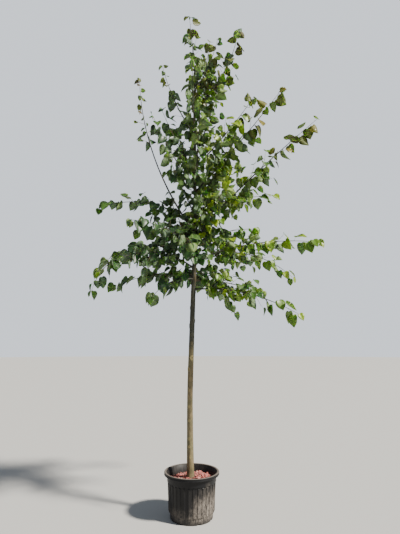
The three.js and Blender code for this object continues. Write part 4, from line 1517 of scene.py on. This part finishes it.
class LINDEN_OT_boughs(bpy.types.Operator):
    """Every bough, one tapering limb from its collar on the trunk to its tip"""

    bl_idname = "linden.boughs"
    bl_label = "Boughs"

    def execute(self, context):
        settings = context.scene.linden_bark
        finish = bark_finish("bough_bark", settings.bough, BOUGH_ALGAE, BOUGH_FLECKS)
        for group in GROUPS:
            bm = bmesh.new()
            members = [bough for bough in BOUGHS if group_of(bough) == group]
            for bough in members:
                bough_tube(bm, bough)
            bmesh.ops.recalc_face_normals(bm, faces=bm.faces)
            bm.normal_update()
            cracks = []
            for vert in bm.verts:
                crack = crack_at(vert.co, *BOUGH_CRACKS)
                lump = BOUGH_LUMPS[0] * noise.noise(vert.co * BOUGH_LUMPS[1])
                vert.co += vert.normal * (lump - BOUGH_CRACK_DEPTH * crack)
                cracks.append(crack * BOUGH_CRACK_DARK)
            boughs = piece_of(bm, f"boughs_{group}", finish)
            add_values(boughs.data, "crack", cracks)
            # The solids have a limb of its own for each bough that is leafless at its foot.
            ridden(boughs, "bough_bark", *[f"bough_{bough.name}" for bough in members if bough.bare])
        return {"FINISHED"}


class LINDEN_OT_foliage(bpy.types.Operator):
    """Twigs, buds and leaves that grow on from the boughs"""

    bl_idname = "linden.foliage"
    bl_label = "Foliage"

    def execute(self, context):
        settings = context.scene.linden_crown
        bark = context.scene.linden_bark
        crown = Crown(settings)
        shape = leaf_shape()
        materials, tone_slots = [], {}
        sides = (UPPER_VEINS, settings.gloss, UPPER_SHEEN), (UNDER_VEINS, UNDER_ROUGH, UNDER_SHEEN)
        for name, (upper, under) in TONES.items():
            tone_slots[name] = len(materials)
            materials.append(leaf_finish(f"leaf_{name}", upper, *sides[0], settings.glow))
            materials.append(leaf_finish(f"leaf_{name}_under", under, *sides[1], settings.glow))
        stalk_slot = len(materials)
        materials.append(shoot_finish("leaf_stalk", *STALK))
        twig_materials = [
            shoot_finish("twig_bark", bark.shoot, TWIG_DARK), shoot_finish("bud", *BUD_SCALES)
        ]
        ball = bmesh.new()
        bmesh.ops.create_icosphere(ball, subdivisions=1, radius=1)
        bud_places = np.array([vert.co for vert in ball.verts])
        bud_faces = [[vert.index for vert in face.verts] for face in ball.faces]
        ball.free()
        draw = random.Random(SEED)
        for group in GROUPS:
            sprays = [spray for spray in crown.sprays if group_of(spray.bough) == group]
            masses = [f"leaves_{spray.bough.name}" for spray in sprays]
            twigs = Soup()
            for spray in sprays:
                for shoot in spray.shoots:
                    twigs.add(*tube(shoot.points, shoot.radii, TWIG_SIDES))
                for bud in spray.buds:
                    turn = np.array(bud.along.to_track_quat("Z", "Y").to_matrix())
                    size = bud_places * (bud.size * 0.5, bud.size * 0.5, bud.size)
                    twigs.add(size @ turn.T + np.array(bud.place + bud.along * bud.size * 0.8), bud_faces, 1)
            ridden(twigs.build(f"twigs_{group}", twig_materials, "grain"), "bough_bark", *masses)
            leaves = Soup()
            add_leaves(leaves, sprays, shape, tone_slots, stalk_slot, draw)
            ridden(leaves.build(f"foliage_{group}", materials, "vein"), "leaves", *masses)
        return {"FINISHED"}


class LINDEN_OT_stage(bpy.types.Operator):
    """The pale floor, the soft lights and the camera"""

    bl_idname = "linden.stage"
    bl_label = "Stage"

    def execute(self, context):
        settings = context.scene.linden_stage
        bm = bmesh.new()
        bmesh.ops.create_circle(bm, cap_ends=True, segments=96, radius=FLOOR_RADIUS)
        floor = piece_of(bm, "floor", floor_finish(settings))

        world = bpy.data.worlds.new("surroundings")
        world.use_nodes = True
        nodes = Nodes(world.node_tree)
        light = world.node_tree.nodes["Background"]
        nodes.put(light.inputs["Color"], settings.sky)
        light.inputs["Strength"].default_value = settings.fill
        backdrop = nodes.node("ShaderNodeBackground")
        nodes.put(backdrop.inputs["Color"], BACKDROP)
        backdrop.inputs["Strength"].default_value = settings.backdrop
        either = nodes.node("ShaderNodeMixShader")
        nodes.link(nodes.node("ShaderNodeLightPath").outputs["Is Camera Ray"], either.inputs["Fac"])
        nodes.link(light.outputs["Background"], either.inputs[1])
        nodes.link(backdrop.outputs["Background"], either.inputs[2])
        nodes.link(either.outputs["Shader"], world.node_tree.nodes["World Output"].inputs["Surface"])
        context.scene.world = world

        key = bpy.data.lights.new("key", "SUN")
        key.energy = settings.key
        key.angle = math.radians(KEY_WIDTH)
        key.color = SUNLIGHT
        lamp = linked(bpy.data.objects.new("key", key))
        toward = -direction_of(*KEY_FROM)
        lamp.rotation_mode = "QUATERNION"
        lamp.rotation_quaternion = toward.to_track_quat("-Z", "Y")

        camera = bpy.data.cameras.new("camera")
        camera.lens = CAMERA_LENS
        camera.sensor_width = CAMERA_SENSOR
        camera.clip_end = CAMERA_FAR
        eye = linked(bpy.data.objects.new("camera", camera))
        eye.location = CAMERA_PLACE
        eye.rotation_euler = (math.radians(90 + CAMERA_PITCH), 0, 0)
        context.scene.camera = eye
        return {"FINISHED"}


class LINDEN_PT_panel(bpy.types.Panel):
    """Every setting, with the buttons that build from it"""

    bl_idname = "LINDEN_PT_panel"
    bl_label = "Linden tree"
    bl_space_type = "VIEW_3D"
    bl_region_type = "UI"
    bl_category = "Linden"

    def draw(self, context):
        for title, settings, operators in PANEL:
            box = self.layout.box()
            box.label(text=title)
            group = getattr(context.scene, settings)
            for name in group.__annotations__:
                box.prop(group, name)
            for operator in operators:
                box.operator(operator)


PANEL = [
    ("Pot", "linden_pot", ["linden.pot", "linden.soil"]),
    ("Bark", "linden_bark", ["linden.trunk", "linden.boughs"]),
    ("Crown", "linden_crown", ["linden.foliage"]),
    ("Stage", "linden_stage", ["linden.stage"]),
]
SETTINGS = {
    "linden_pot": PotSettings,
    "linden_bark": BarkSettings,
    "linden_crown": CrownSettings,
    "linden_stage": StageSettings,
}
OPERATORS = [
    LINDEN_OT_stage,
    LINDEN_OT_pot,
    LINDEN_OT_soil,
    LINDEN_OT_trunk,
    LINDEN_OT_boughs,
    LINDEN_OT_foliage,
]


def register():
    for cls in [*SETTINGS.values(), *OPERATORS, LINDEN_PT_panel]:
        bpy.utils.register_class(cls)
    for name, group in SETTINGS.items():
        setattr(bpy.types.Scene, name, PointerProperty(type=group))


def unregister():
    for name in SETTINGS:
        delattr(bpy.types.Scene, name)
    for cls in reversed([*SETTINGS.values(), *OPERATORS, LINDEN_PT_panel]):
        bpy.utils.unregister_class(cls)


def main():
    """Registers the add-on and builds everything, the stage first."""
    register()
    bpy.ops.linden.stage()
    bpy.ops.linden.pot()
    bpy.ops.linden.soil()
    bpy.ops.linden.trunk()
    bpy.ops.linden.boughs()
    bpy.ops.linden.foliage()
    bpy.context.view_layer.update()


if __name__ == "__main__":
    main()
